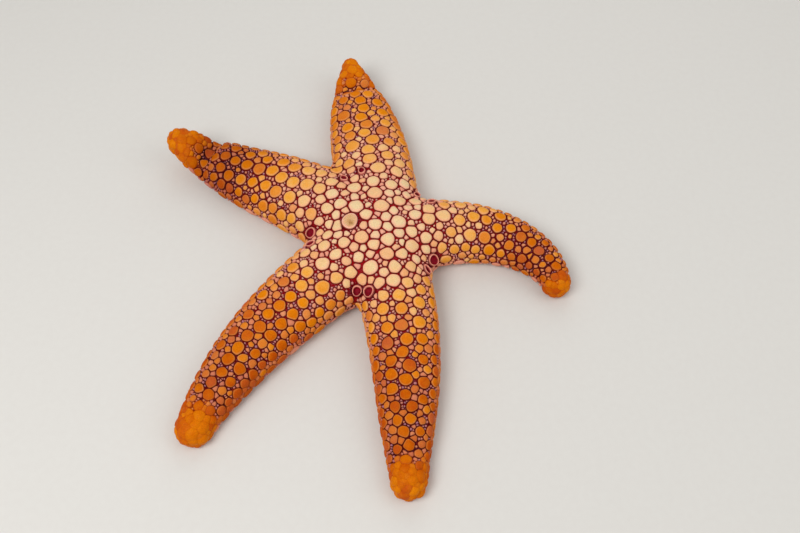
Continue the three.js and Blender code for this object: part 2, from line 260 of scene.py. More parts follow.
class Sheet:
    """The plan field on a fine square grid, read between its nodes by bilinear weights."""

    def __init__(self):
        reach = np.abs(LINES).max() + GRID_MARGIN
        self.low = -reach
        count = int(2 * reach / GRID) + 1
        axis = self.low + GRID * np.arange(count)
        x, y = np.meshgrid(axis, axis, indexing="ij")
        plan = plan_at(np.stack([x.ravel(), y.ravel()], 1))
        layers = [plan["edge"] ** 2, plan["height"], plan["lift"]]
        self.layers = np.stack([layer.reshape(count, count) for layer in layers], -1)
        self.count = count

    def read(self, x, y):
        """The squared edge, height and lift at plan places."""
        at = [np.clip((v - self.low) / GRID, 0, self.count - 1.001) for v in (x, y)]
        (i, fx), (j, fy) = ((a.astype(int), a - a.astype(int)) for a in at)
        fx, fy = fx[:, None], fy[:, None]
        low = self.layers[i, j] * (1 - fx) + self.layers[i + 1, j] * fx
        high = self.layers[i, j + 1] * (1 - fx) + self.layers[i + 1, j + 1] * fx
        return (low * (1 - fy) + high * fy).T


sheet = Sheet()


def edge_at(xy):
    """The edge of the plan field: 0 on the middle lines, 1 on the outline."""
    return np.sqrt(sheet.read(xy[:, 0], xy[:, 1])[0])


def body_value(points):
    """0 on the body's surface, negative inside: (edge^p + level^p)^(1/p) - 1, where level goes
    from 0 at the rim to 1 at the top of the back, or at the flat of the underside."""
    edge2, height, lift = sheet.read(points[:, 0], points[:, 1])
    z = points[:, 2] - lift
    rim = RIM_LEVEL * height
    up = np.clip(z - rim, 0, None) / (height - rim)
    down = np.clip(rim - z, 0, None) / (FLAT_SHARE * rim)
    back = (edge2 ** (BACK_POWER / 2) + up ** BACK_POWER) ** (1 / BACK_POWER) - 1
    base = (edge2 ** (BASE_POWER / 2) + down ** BASE_POWER) ** (1 / BASE_POWER) - 1
    return np.maximum(np.where(z > rim, back, base), -z / 4)


def slope_of(points, reach=0.08):
    """Gradient of the body value by central differences."""
    columns = []
    for k in range(3):
        shift = np.zeros(3)
        shift[k] = reach
        columns.append((body_value(points + shift) - body_value(points - shift)) / (2 * reach))
    return np.stack(columns, 1)


def unit(vectors):
    """Vectors made 1 long."""
    return vectors / np.maximum(np.linalg.norm(vectors, axis=-1, keepdims=True), 1e-9)


PROBE = 0.05           # mm to each side, over which the rate along a normal is taken
LEAST_RATE = 0.02      # per mm, so that a slide stays short where the body value hardly changes
LONGEST_SLIDE = 0.6    # mm


def settle(points, normals, rounds=3):
    """Slides points along their normals onto the body's surface by Newton's rule."""
    for _ in range(rounds):
        rate = (body_value(points + normals * PROBE) - body_value(points - normals * PROBE)) / (2 * PROBE)
        rate = np.where(np.abs(rate) < LEAST_RATE, LEAST_RATE, rate)
        slide = np.clip(body_value(points) / rate, -LONGEST_SLIDE, LONGEST_SLIDE)
        points = points - normals * slide[:, None]
    return points


def furrow_fade(t):
    """How much of a furrow's depth is left at share t of its arm: ((1 - t) FURROW_FADE)^2, and
    all of it where that is above 1."""
    return np.minimum(1, ((1 - t) * FURROW_FADE) ** 2)


def furrow_at(plan):
    """How deep the feeding furrows and the mouth go up into the underside: a parabola across
    each arm's middle line, fading at the tip, and a flat-bottomed bowl in the middle."""
    furrow = FURROW_DEPTH * furrow_fade(plan["t"]) * np.clip(1 - (plan["away"] / FURROW_HALF) ** 2, 0, None)
    mouth = MOUTH_DEPTH * np.clip(1 - (plan["rho"] / MOUTH_RADIUS) ** 4, 0, None)
    return np.maximum(furrow, mouth)


# ------------------------------------------------------------------ rows across the arms

DISC_ROWS = 26
ARM_ROWS = 88
CAP_ROWS = 12
HALF_STEPS = 22
HALVINGS = 36                               # of the angle between two arms
AXIL_RADII = np.linspace(6, 30, 240)        # mm from the middle, where the axils are looked for
RIM_STEP = 0.1                              # mm, on the way out to the outline


def crowding(steps):
    """Shares from 0 to 1 that crowd at 1: sin(v pi / 2)."""
    return np.sin(np.linspace(0, 1, steps + 1) * math.pi / 2)


def arch(edge, power):
    """The section of the body over its rim or under it, 1 in the middle and 0 on the outline:
    (1 - edge^power)^(1 / power)."""
    return (1 - edge ** power) ** (1 / power)


def between_arms(right):
    """The line between an arm and the next one to its left, where both are equally near in half
    widths, found at each radius by halving the angle between them; it ends at the axil."""
    left = (right + 1) % len(ARMS)

    def at(radius):
        low, high = (np.full(len(radius), bearing) for bearing in ROUND[right:right + 2])
        for _ in range(HALVINGS):
            angle = (low + high) / 2
            spots = radius[:, None] * direction(angle)
            away_r, t_r, _ = nearest(right, spots)
            away_l, t_l, _ = nearest(left, spots)
            closer = away_r / half_width(right, t_r) < away_l / half_width(left, t_l)
            low, high = np.where(closer, angle, low), np.where(closer, high, angle)
        return radius[:, None] * direction(low)

    outside = edge_at(at(AXIL_RADII)) - 1
    k = int(np.argmax(outside > 0))
    before, after = AXIL_RADII[k - 1:k + 1]
    axil = after - (after - before) * outside[k] / (outside[k] - outside[k - 1])
    return at(axil * crowding(DISC_ROWS))


GAPS = [between_arms(i) for i in range(len(ARMS))]


def rim_points(i, along, side):
    """Out from arm i's middle line, square to it, to the outline: the first place where the
    edge passes 1, on steps of RIM_STEP."""
    origin = line_point(i, along)
    out = left_of(heading_at(i, along / LENGTHS[i])) * side
    steps = np.arange(ARMS[i]["end"] / 2, 2 * ARMS[i]["root"], RIM_STEP)
    spots = origin[:, None] + out[:, None] * steps[None, :, None]
    edge = edge_at(spots.reshape(-1, 2)).reshape(len(along), -1)
    k = (edge > 1).argmax(1)
    rows = np.arange(len(along))
    share = (edge[rows, k] - 1) / np.maximum(edge[rows, k] - edge[rows, k - 1], 1e-6)
    return origin + out * (steps[k] - RIM_STEP * share)[:, None]


def arm_rows(i):
    """Rows across arm i as left, middle and right points: fans inside the disc, rows that turn
    from slanted to square on the free arm, and chords of the round end."""
    left_gap, right_gap = GAPS[i], GAPS[i - 1]
    starts = [nearest(i, gap[-1:])[1][0] * LENGTHS[i] for gap in (left_gap, right_gap)]
    middle_start = sum(starts) / 2
    inner = np.linspace(0, 1, DISC_ROWS + 1)
    rows = [(left_gap, line_point(i, middle_start * inner), right_gap)]
    outer = np.linspace(0, 1, ARM_ROWS + 1)[1:]
    along = [s + (LENGTHS[i] - s) * outer for s in starts]
    middle = line_point(i, middle_start + (LENGTHS[i] - middle_start) * outer)
    rows.append((rim_points(i, along[0], 1), middle, rim_points(i, along[1], -1)))
    turn = np.linspace(0, math.pi / 2, CAP_ROWS + 1)[1:]
    out = left_of(heading_at(i, np.ones(CAP_ROWS))) * (ARMS[i]["end"] * np.cos(turn))[:, None]
    cap = line_point(i, LENGTHS[i] + ARMS[i]["end"] * np.sin(turn))
    rows.append((cap + out, cap, cap - out))
    return [np.vstack(column) for column in zip(*rows)]


def row_grid(i):
    """The rows of arm i as a grid of plan points, in steps from the middle to both ends that
    crowd at the rim."""
    left, middle, right = arm_rows(i)
    shares = crowding(HALF_STEPS)[None, :, None]
    to_left = middle[:, None] + (left - middle)[:, None] * shares
    to_right = middle[:, None] + (right - middle)[:, None] * shares
    return np.concatenate([to_left[:, :0:-1], to_right], 1)


def raise_grid(plan_points, upper):
    """Heights of a grid of plan points: the dome of the back above the rim, or the bowl below
    it that ends in the flat."""
    flat = plan_points.reshape(-1, 2)
    edge2, height, lift = sheet.read(flat[:, 0], flat[:, 1])
    edge = np.sqrt(np.minimum(edge2, 1))
    rim = RIM_LEVEL * height
    if upper:
        z = rim + (height - rim) * arch(edge, BACK_POWER)
    else:
        z = np.maximum(rim * (1 - FLAT_SHARE * arch(edge, BASE_POWER)), 0)
    return np.column_stack([flat, z + lift]).reshape(*plan_points.shape[:2], 3)


# ------------------------------------------------------------------ meshes

def place(points):
    """Millimetres round the disc to metres in the frame."""
    return points * MM + DISC_AT


PATCH = 0.003        # how wide each small part is on its piece's map


def patches(roots, flat):
    """Map places of many small parts: the flattened form of each, made PATCH across, round its
    root's place on the unwrap: root + PATCH flat / (2 greatest length in flat)."""
    reach = np.linalg.norm(flat, axis=-1).max(axis=1)[:, None, None]
    return roots[:, None] + 0.5 * PATCH * flat / reach


def mesh_piece(name, points, faces, material, maps=None, layers=None, feet=None):
    """A smooth mesh object from whole arrays: faces is a list of (count, corners) index arrays,
    maps gives a UV pair per point, layers gives one number per point for the material. feet
    lists the parts' hidden foot points: the faces round them get a patch beside the part's own,
    so that they don't lie over its top on the map."""
    mesh = bpy.data.meshes.new(name)
    mesh.vertices.add(len(points))
    mesh.vertices.foreach_set("co", place(points).astype(np.float32).ravel())
    corners = np.concatenate([block.ravel() for block in faces])
    sizes = np.concatenate([np.full(len(block), block.shape[1]) for block in faces])
    mesh.loops.add(len(corners))
    mesh.loops.foreach_set("vertex_index", corners.astype(np.int32))
    mesh.polygons.add(len(sizes))
    starts = np.concatenate([[0], np.cumsum(sizes)[:-1]])
    mesh.polygons.foreach_set("loop_start", starts.astype(np.int32))
    mesh.polygons.foreach_set("use_smooth", np.ones(len(sizes), bool))
    mesh.update(calc_edges=True)
    if maps is not None:
        placed = maps[corners]
        if feet is not None:
            hidden = np.logical_or.reduceat(np.isin(corners, feet), starts)
            placed = placed + np.repeat(hidden, sizes)[:, None] * np.array([1.1 * PATCH, 0])
        uv = mesh.uv_layers.new(name="OFBake")
        uv.data.foreach_set("uv", placed.astype(np.float32).ravel())
    for layer, values in (layers or {}).items():
        made = mesh.attributes.new(layer, "FLOAT", "POINT")
        made.data.foreach_set("value", np.asarray(values, np.float32))
    mesh.validate()
    piece = bpy.data.objects.new(name, mesh)
    bpy.context.scene.collection.objects.link(piece)
    mesh.materials.append(material)
    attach(piece, "root")
    return piece


WELD = 2e-6          # m, how close doubled points lie


def weld(piece):
    """Joins doubled points along seams and at poles."""
    work = bmesh.new()
    work.from_mesh(piece.data)
    bmesh.ops.remove_doubles(work, verts=work.verts, dist=WELD)
    bmesh.ops.dissolve_degenerate(work, edges=work.edges, dist=WELD / 2)
    work.to_mesh(piece.data)
    work.free()


def grid_faces(rows, columns, first=0, flip=False):
    """Quads of a rows x columns grid of points."""
    corner = first + (np.arange(rows - 1)[:, None] * columns + np.arange(columns - 1)).ravel()
    quads = np.stack([corner, corner + 1, corner + columns + 1, corner + columns], 1)
    return quads[:, ::-1] if flip else quads


# ------------------------------------------------------------------ materials

def colour(code):
    """An sRGB hex value as linear red, green, blue and alpha."""
    parts = [int(code[k:k + 2], 16) / 255 for k in (1, 3, 5)]
    return tuple(p / 12.92 if p <= 0.04045 else ((p + 0.055) / 1.055) ** 2.4 for p in parts) + (1.0,)


def step(material, kind, inputs=None, stops=None, out=None, **settings):
    """Adds one node and gives one of its outputs, by name or the first in use: settings are its
    own properties, inputs are sockets to link or values to set by name or number, and stops are
    the places and colours of a ramp. Colours may be hex values."""
    tree = material.node_tree
    made = tree.nodes.new(kind)
    for name, value in settings.items():
        setattr(made, name, value)
    for name, value in (inputs or {}).items():
        if isinstance(value, bpy.types.NodeSocket):
            tree.links.new(value, made.inputs[name])
        else:
            made.inputs[name].default_value = colour(value) if isinstance(value, str) else value
    for k, (place_at, shade) in enumerate(stops or []):
        point = made.color_ramp.elements[k] if k < 2 else made.color_ramp.elements.new(place_at)
        point.position = place_at
        point.color = colour(shade)
    return made.outputs[out] if out else next((o for o in made.outputs if o.enabled), None)


def new_material(name):
    """A material without nodes."""
    material = bpy.data.materials.new(name)
    material.use_nodes = True
    material.node_tree.nodes.clear()
    return material


def finish(material, shader):
    """Closes a material with its surface."""
    step(material, "ShaderNodeOutputMaterial", {"Surface": shader})
    return material


def per_mm(size):
    """Texture scale for a pattern of a size in millimetres, on coordinates in metres."""
    return 1 / (size * MM)


MIX = dict(data_type="RGBA")
SHADE_AND_DARK_TONE_TINT = (0.72, 0.6, 0.66, 1.0)                   # linear: what the darkening of the outer arms leaves of each colour's light; partly painted shade, partly their own darker colour
TISSUE = {"Subsurface Radius": (1.0, 0.4, 0.2)}      # red light goes furthest through living tissue


def plate_material():
    """Calcite plates (porous stereom) under a thin living skin, wet: the eye sees a matt, finely
    grained body colour, a soft sheen and a paler rim where the skin thickens."""
    m = new_material("stereom_plate")
    coords = step(m, "ShaderNodeTexCoord", out="Object")
    warmth, pale, mauve, rim, merged, dusk = (
        step(m, "ShaderNodeAttribute", out="Fac", attribute_name=mark)
        for mark in ("warmth", "pale", "mauve", "rim", "merged", "dusk"))
    cloud = step(m, "ShaderNodeTexNoise", {"Vector": coords, "Scale": per_mm(1.6), "Detail": 3.0})
    drift = step(m, "ShaderNodeMath", {0: cloud, 1: 0.28, 2: -0.14}, operation="MULTIPLY_ADD")
    hue = step(m, "ShaderNodeMath", {0: warmth, 1: drift}, operation="ADD")
    body = step(m, "ShaderNodeValToRGB", {"Fac": hue}, stops=[
        (0.0, "#ECCE9E"), (1.0, "#C25202"), (0.22, "#EFBE80"),
        (0.42, "#EEA440"), (0.65, "#E48608"), (0.85, "#D67004")])
    peach = step(m, "ShaderNodeValToRGB", {"Fac": warmth}, stops=[
        (0.0, "#F8B49A"), (1.0, "#DC8636"), (0.5, "#F2AE70")])
    # On merged knobs the rim turns deep orange: painted shade in the crevices between them.
    rim_colour_and_crevice_shade = step(m, "ShaderNodeMix", {"Factor": merged, "A": peach, "B": "#C45204"}, **MIX)
    rim_from = step(m, "ShaderNodeMapRange", {"Value": warmth, "To Min": 0.55, "To Max": 0.84})
    edge_share = step(m, "ShaderNodeMapRange", {
        "Value": rim, "From Min": rim_from, "From Max": 0.95, "To Min": 0.0, "To Max": 0.8})
    blush = step(m, "ShaderNodeMix", {"Factor": warmth, "A": "#F0A08C", "B": "#CC7450"}, **MIX)
    wall_share = step(m, "ShaderNodeMapRange", {
        "Value": rim, "From Min": 1.0, "From Max": 1.4, "To Min": 0.0, "To Max": 0.97})
    # The wall is the red of the skin that climbs it, deepened as painted shade at the plates' feet; on
    # merged knobs it turns darker orange, painted shade in their crevices.
    red_wall = step(m, "ShaderNodeMix", {"Factor": warmth, "A": "#760A0C", "B": "#68080C"}, **MIX)
    wall_red_and_shade = step(m, "ShaderNodeMix", {"Factor": merged, "A": red_wall, "B": "#AE4402"}, **MIX)
    fine = step(m, "ShaderNodeTexNoise", {"Vector": coords, "Scale": per_mm(0.22), "Detail": 2.0})
    speck = step(m, "ShaderNodeMapRange", {
        "Value": fine, "From Min": 0.3, "From Max": 0.7, "To Min": 0.86, "To Max": 1.08})
    # Over the body colour, one after another: the rim, deep orange on merged knobs as painted shade in
    # their crevices; the blush of small plates; the lilac of granules; the darkening of the outer arms,
    # partly painted shade and partly their own darker colour; the wall, the red of the skin that climbs
    # it deepened by painted shade, darker orange on merged knobs; and the grain.
    shade = body
    for share, over, blend in (
            (edge_share, rim_colour_and_crevice_shade, "MIX"), (pale, blush, "MIX"), (mauve, "#B07C92", "MIX"),
            (dusk, SHADE_AND_DARK_TONE_TINT, "MULTIPLY"), (wall_share, wall_red_and_shade, "MIX"),
            (1.0, speck, "MULTIPLY")):
        shade = step(m, "ShaderNodeMix", {"Factor": share, "A": shade, "B": over}, blend_type=blend, **MIX)
    # The stereom's pores are about 0.03 mm; drawn as 0.16 mm grains so that they show.
    pores = step(m, "ShaderNodeTexVoronoi", {"Vector": coords, "Scale": per_mm(0.16)}, feature="F1")
    swell = step(m, "ShaderNodeTexNoise", {"Vector": coords, "Scale": per_mm(0.7), "Detail": 2.0})
    relief = step(m, "ShaderNodeMath", {0: swell, 1: 2.0, 2: pores}, operation="MULTIPLY_ADD")
    bump = step(m, "ShaderNodeBump", {"Height": relief, "Strength": 0.35, "Distance": 0.00006})
    rough = step(m, "ShaderNodeMapRange", {"Value": cloud, "To Min": 0.36, "To Max": 0.56})
    return finish(m, step(m, "ShaderNodeBsdfPrincipled", {
        "Base Color": shade, "Roughness": rough, "Normal": bump, "IOR": 1.45,
        "Specular IOR Level": 0.03, "Subsurface Weight": 0.06, "Subsurface Scale": 0.0005, **TISSUE}))


def skin_material():
    """Papular skin: thin, wet and full of blood-red pigment between the plates, crimson on the
    disc and maroon along the arms, orange where plates merge at the tips and on the sides."""
    m = new_material("papular_skin")
    coords = step(m, "ShaderNodeTexCoord", out="Object")
    along, merged, under = (step(m, "ShaderNodeAttribute", out="Fac", attribute_name=mark)
                            for mark in ("along", "merged", "under"))
    cloud = step(m, "ShaderNodeTexNoise", {"Vector": coords, "Scale": per_mm(1.2), "Detail": 4.0})
    drift = step(m, "ShaderNodeMath", {0: cloud, 1: 0.5, 2: -0.25}, operation="MULTIPLY_ADD")
    place_on = step(m, "ShaderNodeMath", {0: along, 1: drift}, operation="ADD")
    red = step(m, "ShaderNodeValToRGB", {"Fac": place_on}, stops=[
        (0.0, "#9C080E"), (1.0, "#380408"), (0.3, "#88080E"), (0.5, "#78080E"), (0.75, "#60080E")])
    # Papulae are about 0.2 mm across: pale mauve beads in the red, drawn 0.34 mm apart.
    beads = step(m, "ShaderNodeTexVoronoi", {"Vector": coords, "Scale": per_mm(0.34)}, feature="F1")
    most = step(m, "ShaderNodeMapRange", {
        "Value": along, "From Min": 0.15, "From Max": 0.45, "To Min": 0.2, "To Max": 0.5})
    bead_share = step(m, "ShaderNodeMapRange", {
        "Value": beads, "From Min": 0.14, "From Max": 0.38, "To Min": most, "To Max": 0.0})
    shade = red
    for share, over in ((bead_share, "#A07088"), (merged, "#C85A08"), (under, "#D98A52")):
        shade = step(m, "ShaderNodeMix", {"Factor": share, "A": shade, "B": over}, **MIX)
    bump = step(m, "ShaderNodeBump", {"Height": beads, "Strength": 0.5, "Distance": 0.0001}, invert=True)
    rough = step(m, "ShaderNodeMapRange", {"Value": cloud, "To Min": 0.26, "To Max": 0.5})
    return finish(m, step(m, "ShaderNodeBsdfPrincipled", {
        "Base Color": shade, "Roughness": rough, "Normal": bump, "IOR": 1.42,
        "Specular IOR Level": 0.04}))


def soft_material(name, shades, grain, roughness, gloss=0.4, subsurface=0.1, marks=None):
    """Wet soft tissue: two body colours mixed by a cloud of the given grain, with fine wrinkles;
    where a mark, an attribute of the piece, is 1, its own pair of colours takes over."""
    m = new_material(name)
    coords = step(m, "ShaderNodeTexCoord", out="Object")
    cloud = step(m, "ShaderNodeTexNoise", {"Vector": coords, "Scale": per_mm(grain), "Detail": 4.0})
    share = step(m, "ShaderNodeMapRange", {"Value": cloud, "From Min": 0.35, "From Max": 0.65})
    body = step(m, "ShaderNodeMix", {"Factor": share, "A": shades[0], "B": shades[1]}, **MIX)
    for mark, (first, second) in (marks or {}).items():
        other = step(m, "ShaderNodeMix", {"Factor": share, "A": first, "B": second}, **MIX)
        where = step(m, "ShaderNodeAttribute", out="Fac", attribute_name=mark)
        body = step(m, "ShaderNodeMix", {"Factor": where, "A": body, "B": other}, **MIX)
    fine = step(m, "ShaderNodeTexNoise", {"Vector": coords, "Scale": per_mm(grain / 4), "Detail": 3.0})
    bump = step(m, "ShaderNodeBump", {"Height": fine, "Strength": 0.4, "Distance": 0.0001})
    rough = step(m, "ShaderNodeMapRange", {
        "Value": fine, "To Min": roughness - 0.08, "To Max": roughness + 0.1})
    return finish(m, step(m, "ShaderNodeBsdfPrincipled", {
        "Base Color": body, "Roughness": rough, "Normal": bump, "IOR": 1.42, "Specular IOR Level": gloss,
        "Subsurface Weight": subsurface, "Subsurface Scale": 0.0006, **TISSUE}))


PLATE = plate_material()
SKIN = skin_material()
# Thin skin that lines a hollow: deep red, its own red deepened as painted shade in the hollow, and
# nearly matt. Its collar is thick and has little pigment, so it is pale pink.
PIT = soft_material("pit_lining", ("#760618", "#940C24"), 0.6, 0.5, gloss=0.1,
                    marks={"collar": ("#DE8672", "#F0A890")})
# Thin-walled tubes full of water: pale amber, light shines a little way in, and they glisten.
FOOT = soft_material("tube_foot", ("#E2A05A", "#F0C890"), 0.5, 0.35, subsurface=0.3)
# Calcite rods under living skin: peach, and wet, so that they shine softly.
SPINE = soft_material("furrow_spine", ("#E49A5C", "#F2C79C"), 0.8, 0.45)
# Porous calcite under thin skin: cream with a pink rim and a brown spot below the middle; the
# grooves, where water is drawn in, brown as painted shade in them; and dark red at its foot: the
# red of the skin that climbs it, deepened by painted shade.
SIEVE = soft_material("sieve_plate", ("#DDAE78", "#E6BA88"), 0.9, 0.4, marks={
    "rim": ("#F2B294", "#F6BCA0"), "groove": ("#9E6620", "#B47C34"), "foot": ("#6A0408", "#7E080E")})
# Bare muscular skin round the mouth: brick red with paler patches, wet.
LIP = soft_material("mouth_lip", ("#B8604A", "#DC9A7C"), 0.7, 0.38)


# ------------------------------------------------------------------ the skin

TIP_RAMP = 0.12        # share of an arm over which the plates pass into knobs
SKIN_LOWEST = 0.05     # mm above the floor, which no skin goes below
PIT_DEPTH = 1.6        # mm that the skin gives way under the cup of a pit
PIT_MARGIN = 0.3       # mm round the cup


def tip_share(plan):
    """0 on the plated part of each arm, rising to 1 over the knobs of its tip, from a line that
    wavers across the arm by a few hundredths of its length."""
    waver = 0.018 * np.sin(1.1 * plan["side"] + 2.2 * plan["arm"]) + 0.012 * np.sin(2.3 * plan["side"])
    return ramp(plan["far"] + waver, each_arm("tip", plan), TIP_RAMP)


def merging(plan):
    """Where the plates merge and the red skin no longer shows between them: 1 on the last of
    each arm, and part way, by the arm's brim, on the low sides of its outer half."""
    low = ramp(plan["edge"], 0.9, 0.1) * ramp(plan["t"], 0.4, 0.45)
    return np.maximum(tip_share(plan), each_arm("brim", plan) * low)


def dusk_at(plan):
    """0 on the inner half of each arm, rising before its tip to how much darker the arm's outer part is
    drawn: partly painted shade, partly its own darker colour.
    """
    return each_arm("dusk", plan) * ramp(plan["t"], 0.58, 0.16) * (1 - tip_share(plan))


# The pits beside the axils: place, radius and how oval each is. Those on the far side are set
# by symmetry.
PIT_TABLE = np.array([
    (-15.6, 0.4, 1.05, 1.0), (-15.3, -3.4, 0.8, 1.2), (-4.4, -15.2, 0.9, 1.15), (-1.8, -16.1, 1.05, 1.1),
    (13.0, -6.4, 1.1, 1.05), (11.5, -9.6, 0.75, 1.5), (12.6, 8.2, 0.7, 1.3), (9.3, 11.4, 0.7, 1.3),
    (-4.0, 16.6, 0.7, 1.3), (-8.2, 15.0, 0.7, 1.2)])
PIT_COLLAR = 0.28


def on_back(xy):
    """Points of the back above plan places, with their normals."""
    edge2, height, lift = sheet.read(xy[:, 0], xy[:, 1])
    edge = np.sqrt(np.minimum(edge2, 0.98))
    rim = RIM_LEVEL * height
    z = lift + rim + (height - rim) * arch(edge, BACK_POWER)
    points = np.column_stack([xy, z])
    normals = unit(slope_of(points, 0.3))
    return settle(points, normals), normals


PIT_POINTS, PIT_NORMALS = on_back(PIT_TABLE[:, :2])
PIT_NORMALS = unit(PIT_NORMALS + np.array([0, 0, 0.45]))
PIT_RADII = PIT_TABLE[:, 2]


def skin_side(i, plan_points, plan, upper):
    """The back or the underside of arm i's share of the skin, moved in along the body's normal by
    the coat's depth, with furrows, mouth and pits let in; its strip of the map; and its marks:
    how far along the arm's reds it is, with painted shade added on the outer arms, partly their own
    darker colour, and round the pits and the sieve plate; where plates merge; and where the flat
    underside is."""
    outer = raise_grid(plan_points, upper).reshape(-1, 3)
    normal = unit(slope_of(outer))
    joined = merging(plan)
    depth = np.where(normal[:, 2] < -0.5, UNDER_COAT, COAT * (1 - 0.72 * joined))
    inner = outer - normal * depth[:, None]
    if not upper:
        inner[:, 2] += furrow_at(plan)
    inner[:, 2] = np.maximum(inner[:, 2], SKIN_LOWEST)
    for spot, spot_normal, radius in zip(PIT_POINTS, PIT_NORMALS, PIT_RADII):
        away = np.linalg.norm(outer - spot, axis=1)
        bowl = PIT_DEPTH * np.clip(1 - (away / (radius + PIT_MARGIN)) ** 4, 0, 1)
        inner -= spot_normal * bowl[:, None]
    rows, columns = plan_points.shape[:2]
    u, v = np.meshgrid(np.linspace(0, 1, columns), np.linspace(0, 1, rows))
    strip = 2 * i + (0 if upper else 1)
    uv = np.column_stack([(strip + 0.03 + 0.94 * u.ravel()) / 10, 0.01 + 0.98 * v.ravel()])
    # Darker outwards along each arm, and darker still on the outer arms: partly painted shade, partly their
    # own darker colour.
    along = 0.88 * plan["t"] + 0.5 * dusk_at(plan) ** 2
    # Round the pits and the sieve plate the skin is drawn darker: its red deepened as painted shade at their
    # feet.
    for spot, reach in [*zip(PIT_POINTS, PIT_RADII + 1.1), (SIEVE_SPOT, SIEVE_RADIUS + 1.0)]:
        near = np.linalg.norm(outer - spot, axis=1) / reach
        along = np.maximum(along, 0.8 * np.exp(-near ** 4))
    merged = joined if upper else np.full(len(joined), 0.8)
    under = np.zeros(len(joined)) if upper else ramp(plan["edge"], 0.97, -0.1)
    return inner, uv, np.minimum(along, 1), merged, under


def make_skin():
    """One closed sheet, made of the back and the underside of each arm's share."""
    sides, faces, count = [], [], 0
    for i in range(len(ARMS)):
        plan_points = row_grid(i)
        plan = plan_at(plan_points.reshape(-1, 2))
        for upper in (True, False):
            sides.append(skin_side(i, plan_points, plan, upper))
            faces.append(grid_faces(*plan_points.shape[:2], count, flip=upper))
            count += len(plan["t"])
    points, maps, along, merged, under = (np.concatenate(column) for column in zip(*sides))
    piece = mesh_piece("skin", points, [np.concatenate(faces)], SKIN, maps,
                       dict(along=along, merged=merged, under=under))
    weld(piece)
    nodes = ["disc"] + [f"{name}_{part}" for name in NAMES for part in ("base", "end", "tip")]
    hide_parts(*nodes)


# ------------------------------------------------------------------ scattering the plates

def candidates(count, upper):
    """Random points of the surface, spread evenly by area: a quad of the row grid by its area,
    a place in it by two random shares, and two Newton steps onto the surface."""
    pool, areas = [], []
    for i in range(len(ARMS)):
        grid = raise_grid(row_grid(i), upper)
        a, b, c, d = grid[:-1, :-1], grid[:-1, 1:], grid[1:, 1:], grid[1:, :-1]
        halves = [np.linalg.norm(np.cross(p - a, q - a), axis=2) for p, q in ((b, c), (c, d))]
        pool.append(np.stack([a, b, c, d], 2).reshape(-1, 4, 3))
        areas.append((sum(halves) / 2).ravel())
    pool, areas = np.concatenate(pool), np.concatenate(areas)
    pick = rng.choice(len(areas), count, p=areas / areas.sum())
    u, v = rng.random((2, count, 1))
    a, b, c, d = (pool[pick, k] for k in range(4))
    points = (a * (1 - u) + b * u) * (1 - v) + (d * (1 - u) + c * u) * v
    normals = unit(slope_of(points))
    return settle(points, normals, 2)


class Scatter:
    """Plates set one after another, large ones first, each where there is room for it: room is
    the distance from a candidate to the nearest plate's edge."""

    def __init__(self, points, blocked):
        self.points = points.astype(np.float32)
        self.room = np.full(len(points), np.inf, np.float32)
        self.chosen, self.radius, self.kind = [], [], []
        for spot, radius in blocked:
            self.crowd(np.asarray(spot, np.float32), radius)

    def crowd(self, spot, radius):
        """Takes the room that a plate of a radius at a spot needs."""
        away = np.sqrt(((self.points - spot) ** 2).sum(1)) - np.float32(radius)
        np.minimum(self.room, away, out=self.room)

    def add(self, kind, k, radius):
        """Sets one plate at candidate k."""
        self.chosen.append(k)
        self.radius.append(radius)
        self.kind.append(kind)
        self.crowd(self.points[k], radius)

    def put(self, kind, spot, radius):
        """Sets one plate at the candidate nearest to a spot."""
        self.add(kind, int(((self.points - spot) ** 2).sum(1).argmin()), radius)

    def lay(self, kind, allowed, least, most, spacing, order=None):
        """Fills the allowed candidates in random order, or along a given order: a plate's radius
        is what the room leaves after its spacing, up to a size drawn between least and most."""
        chance = rng.permutation(np.flatnonzero(allowed))
        order = chance if order is None else chance[np.argsort(order[chance])]
        wish = rng.uniform(0, 1, len(self.points)) ** 0.8
        least, most, spacing = (np.broadcast_to(v, len(self.points)) for v in (least, most, spacing))
        for k in order:
            low, high = least[k], most[k]
            free = self.room[k] - spacing[k]
            if free >= low:
                self.add(kind, k, min(free, low + (high - low) * wish[k]))


LARGE, MEDIUM, SMALL, GRANULE = range(4)
TRIES_ABOVE, TRIES_BELOW = 60000, 30000     # candidates on the back and on the underside
KIND_SIDES = (36, 24, 14, 8)
LOWEST = 0.02          # mm above the floor, which no plate goes below
BROAD_FROM = 17.0      # mm along an arm from where its plates are broader than long


def lengthwise(plan):
    """Level unit vectors along the arm of each point."""
    headings = np.array([heading_at(i, plan["t"]) for i in range(len(ARMS))])
    count = len(plan["t"])
    return np.column_stack([headings[plan["arm"], np.arange(count)], np.zeros(count)])


def stretched(points, plan):
    """Places in which plates are round that are broader than long on the body: each point is
    moved on along its arm by the arm's broad times how far it lies beyond BROAD_FROM."""
    beyond = np.clip(plan["t"] * LENGTHS[plan["arm"]] - BROAD_FROM, 0, None)
    return points + lengthwise(plan) * (each_arm("broad", plan) * beyond)[:, None]


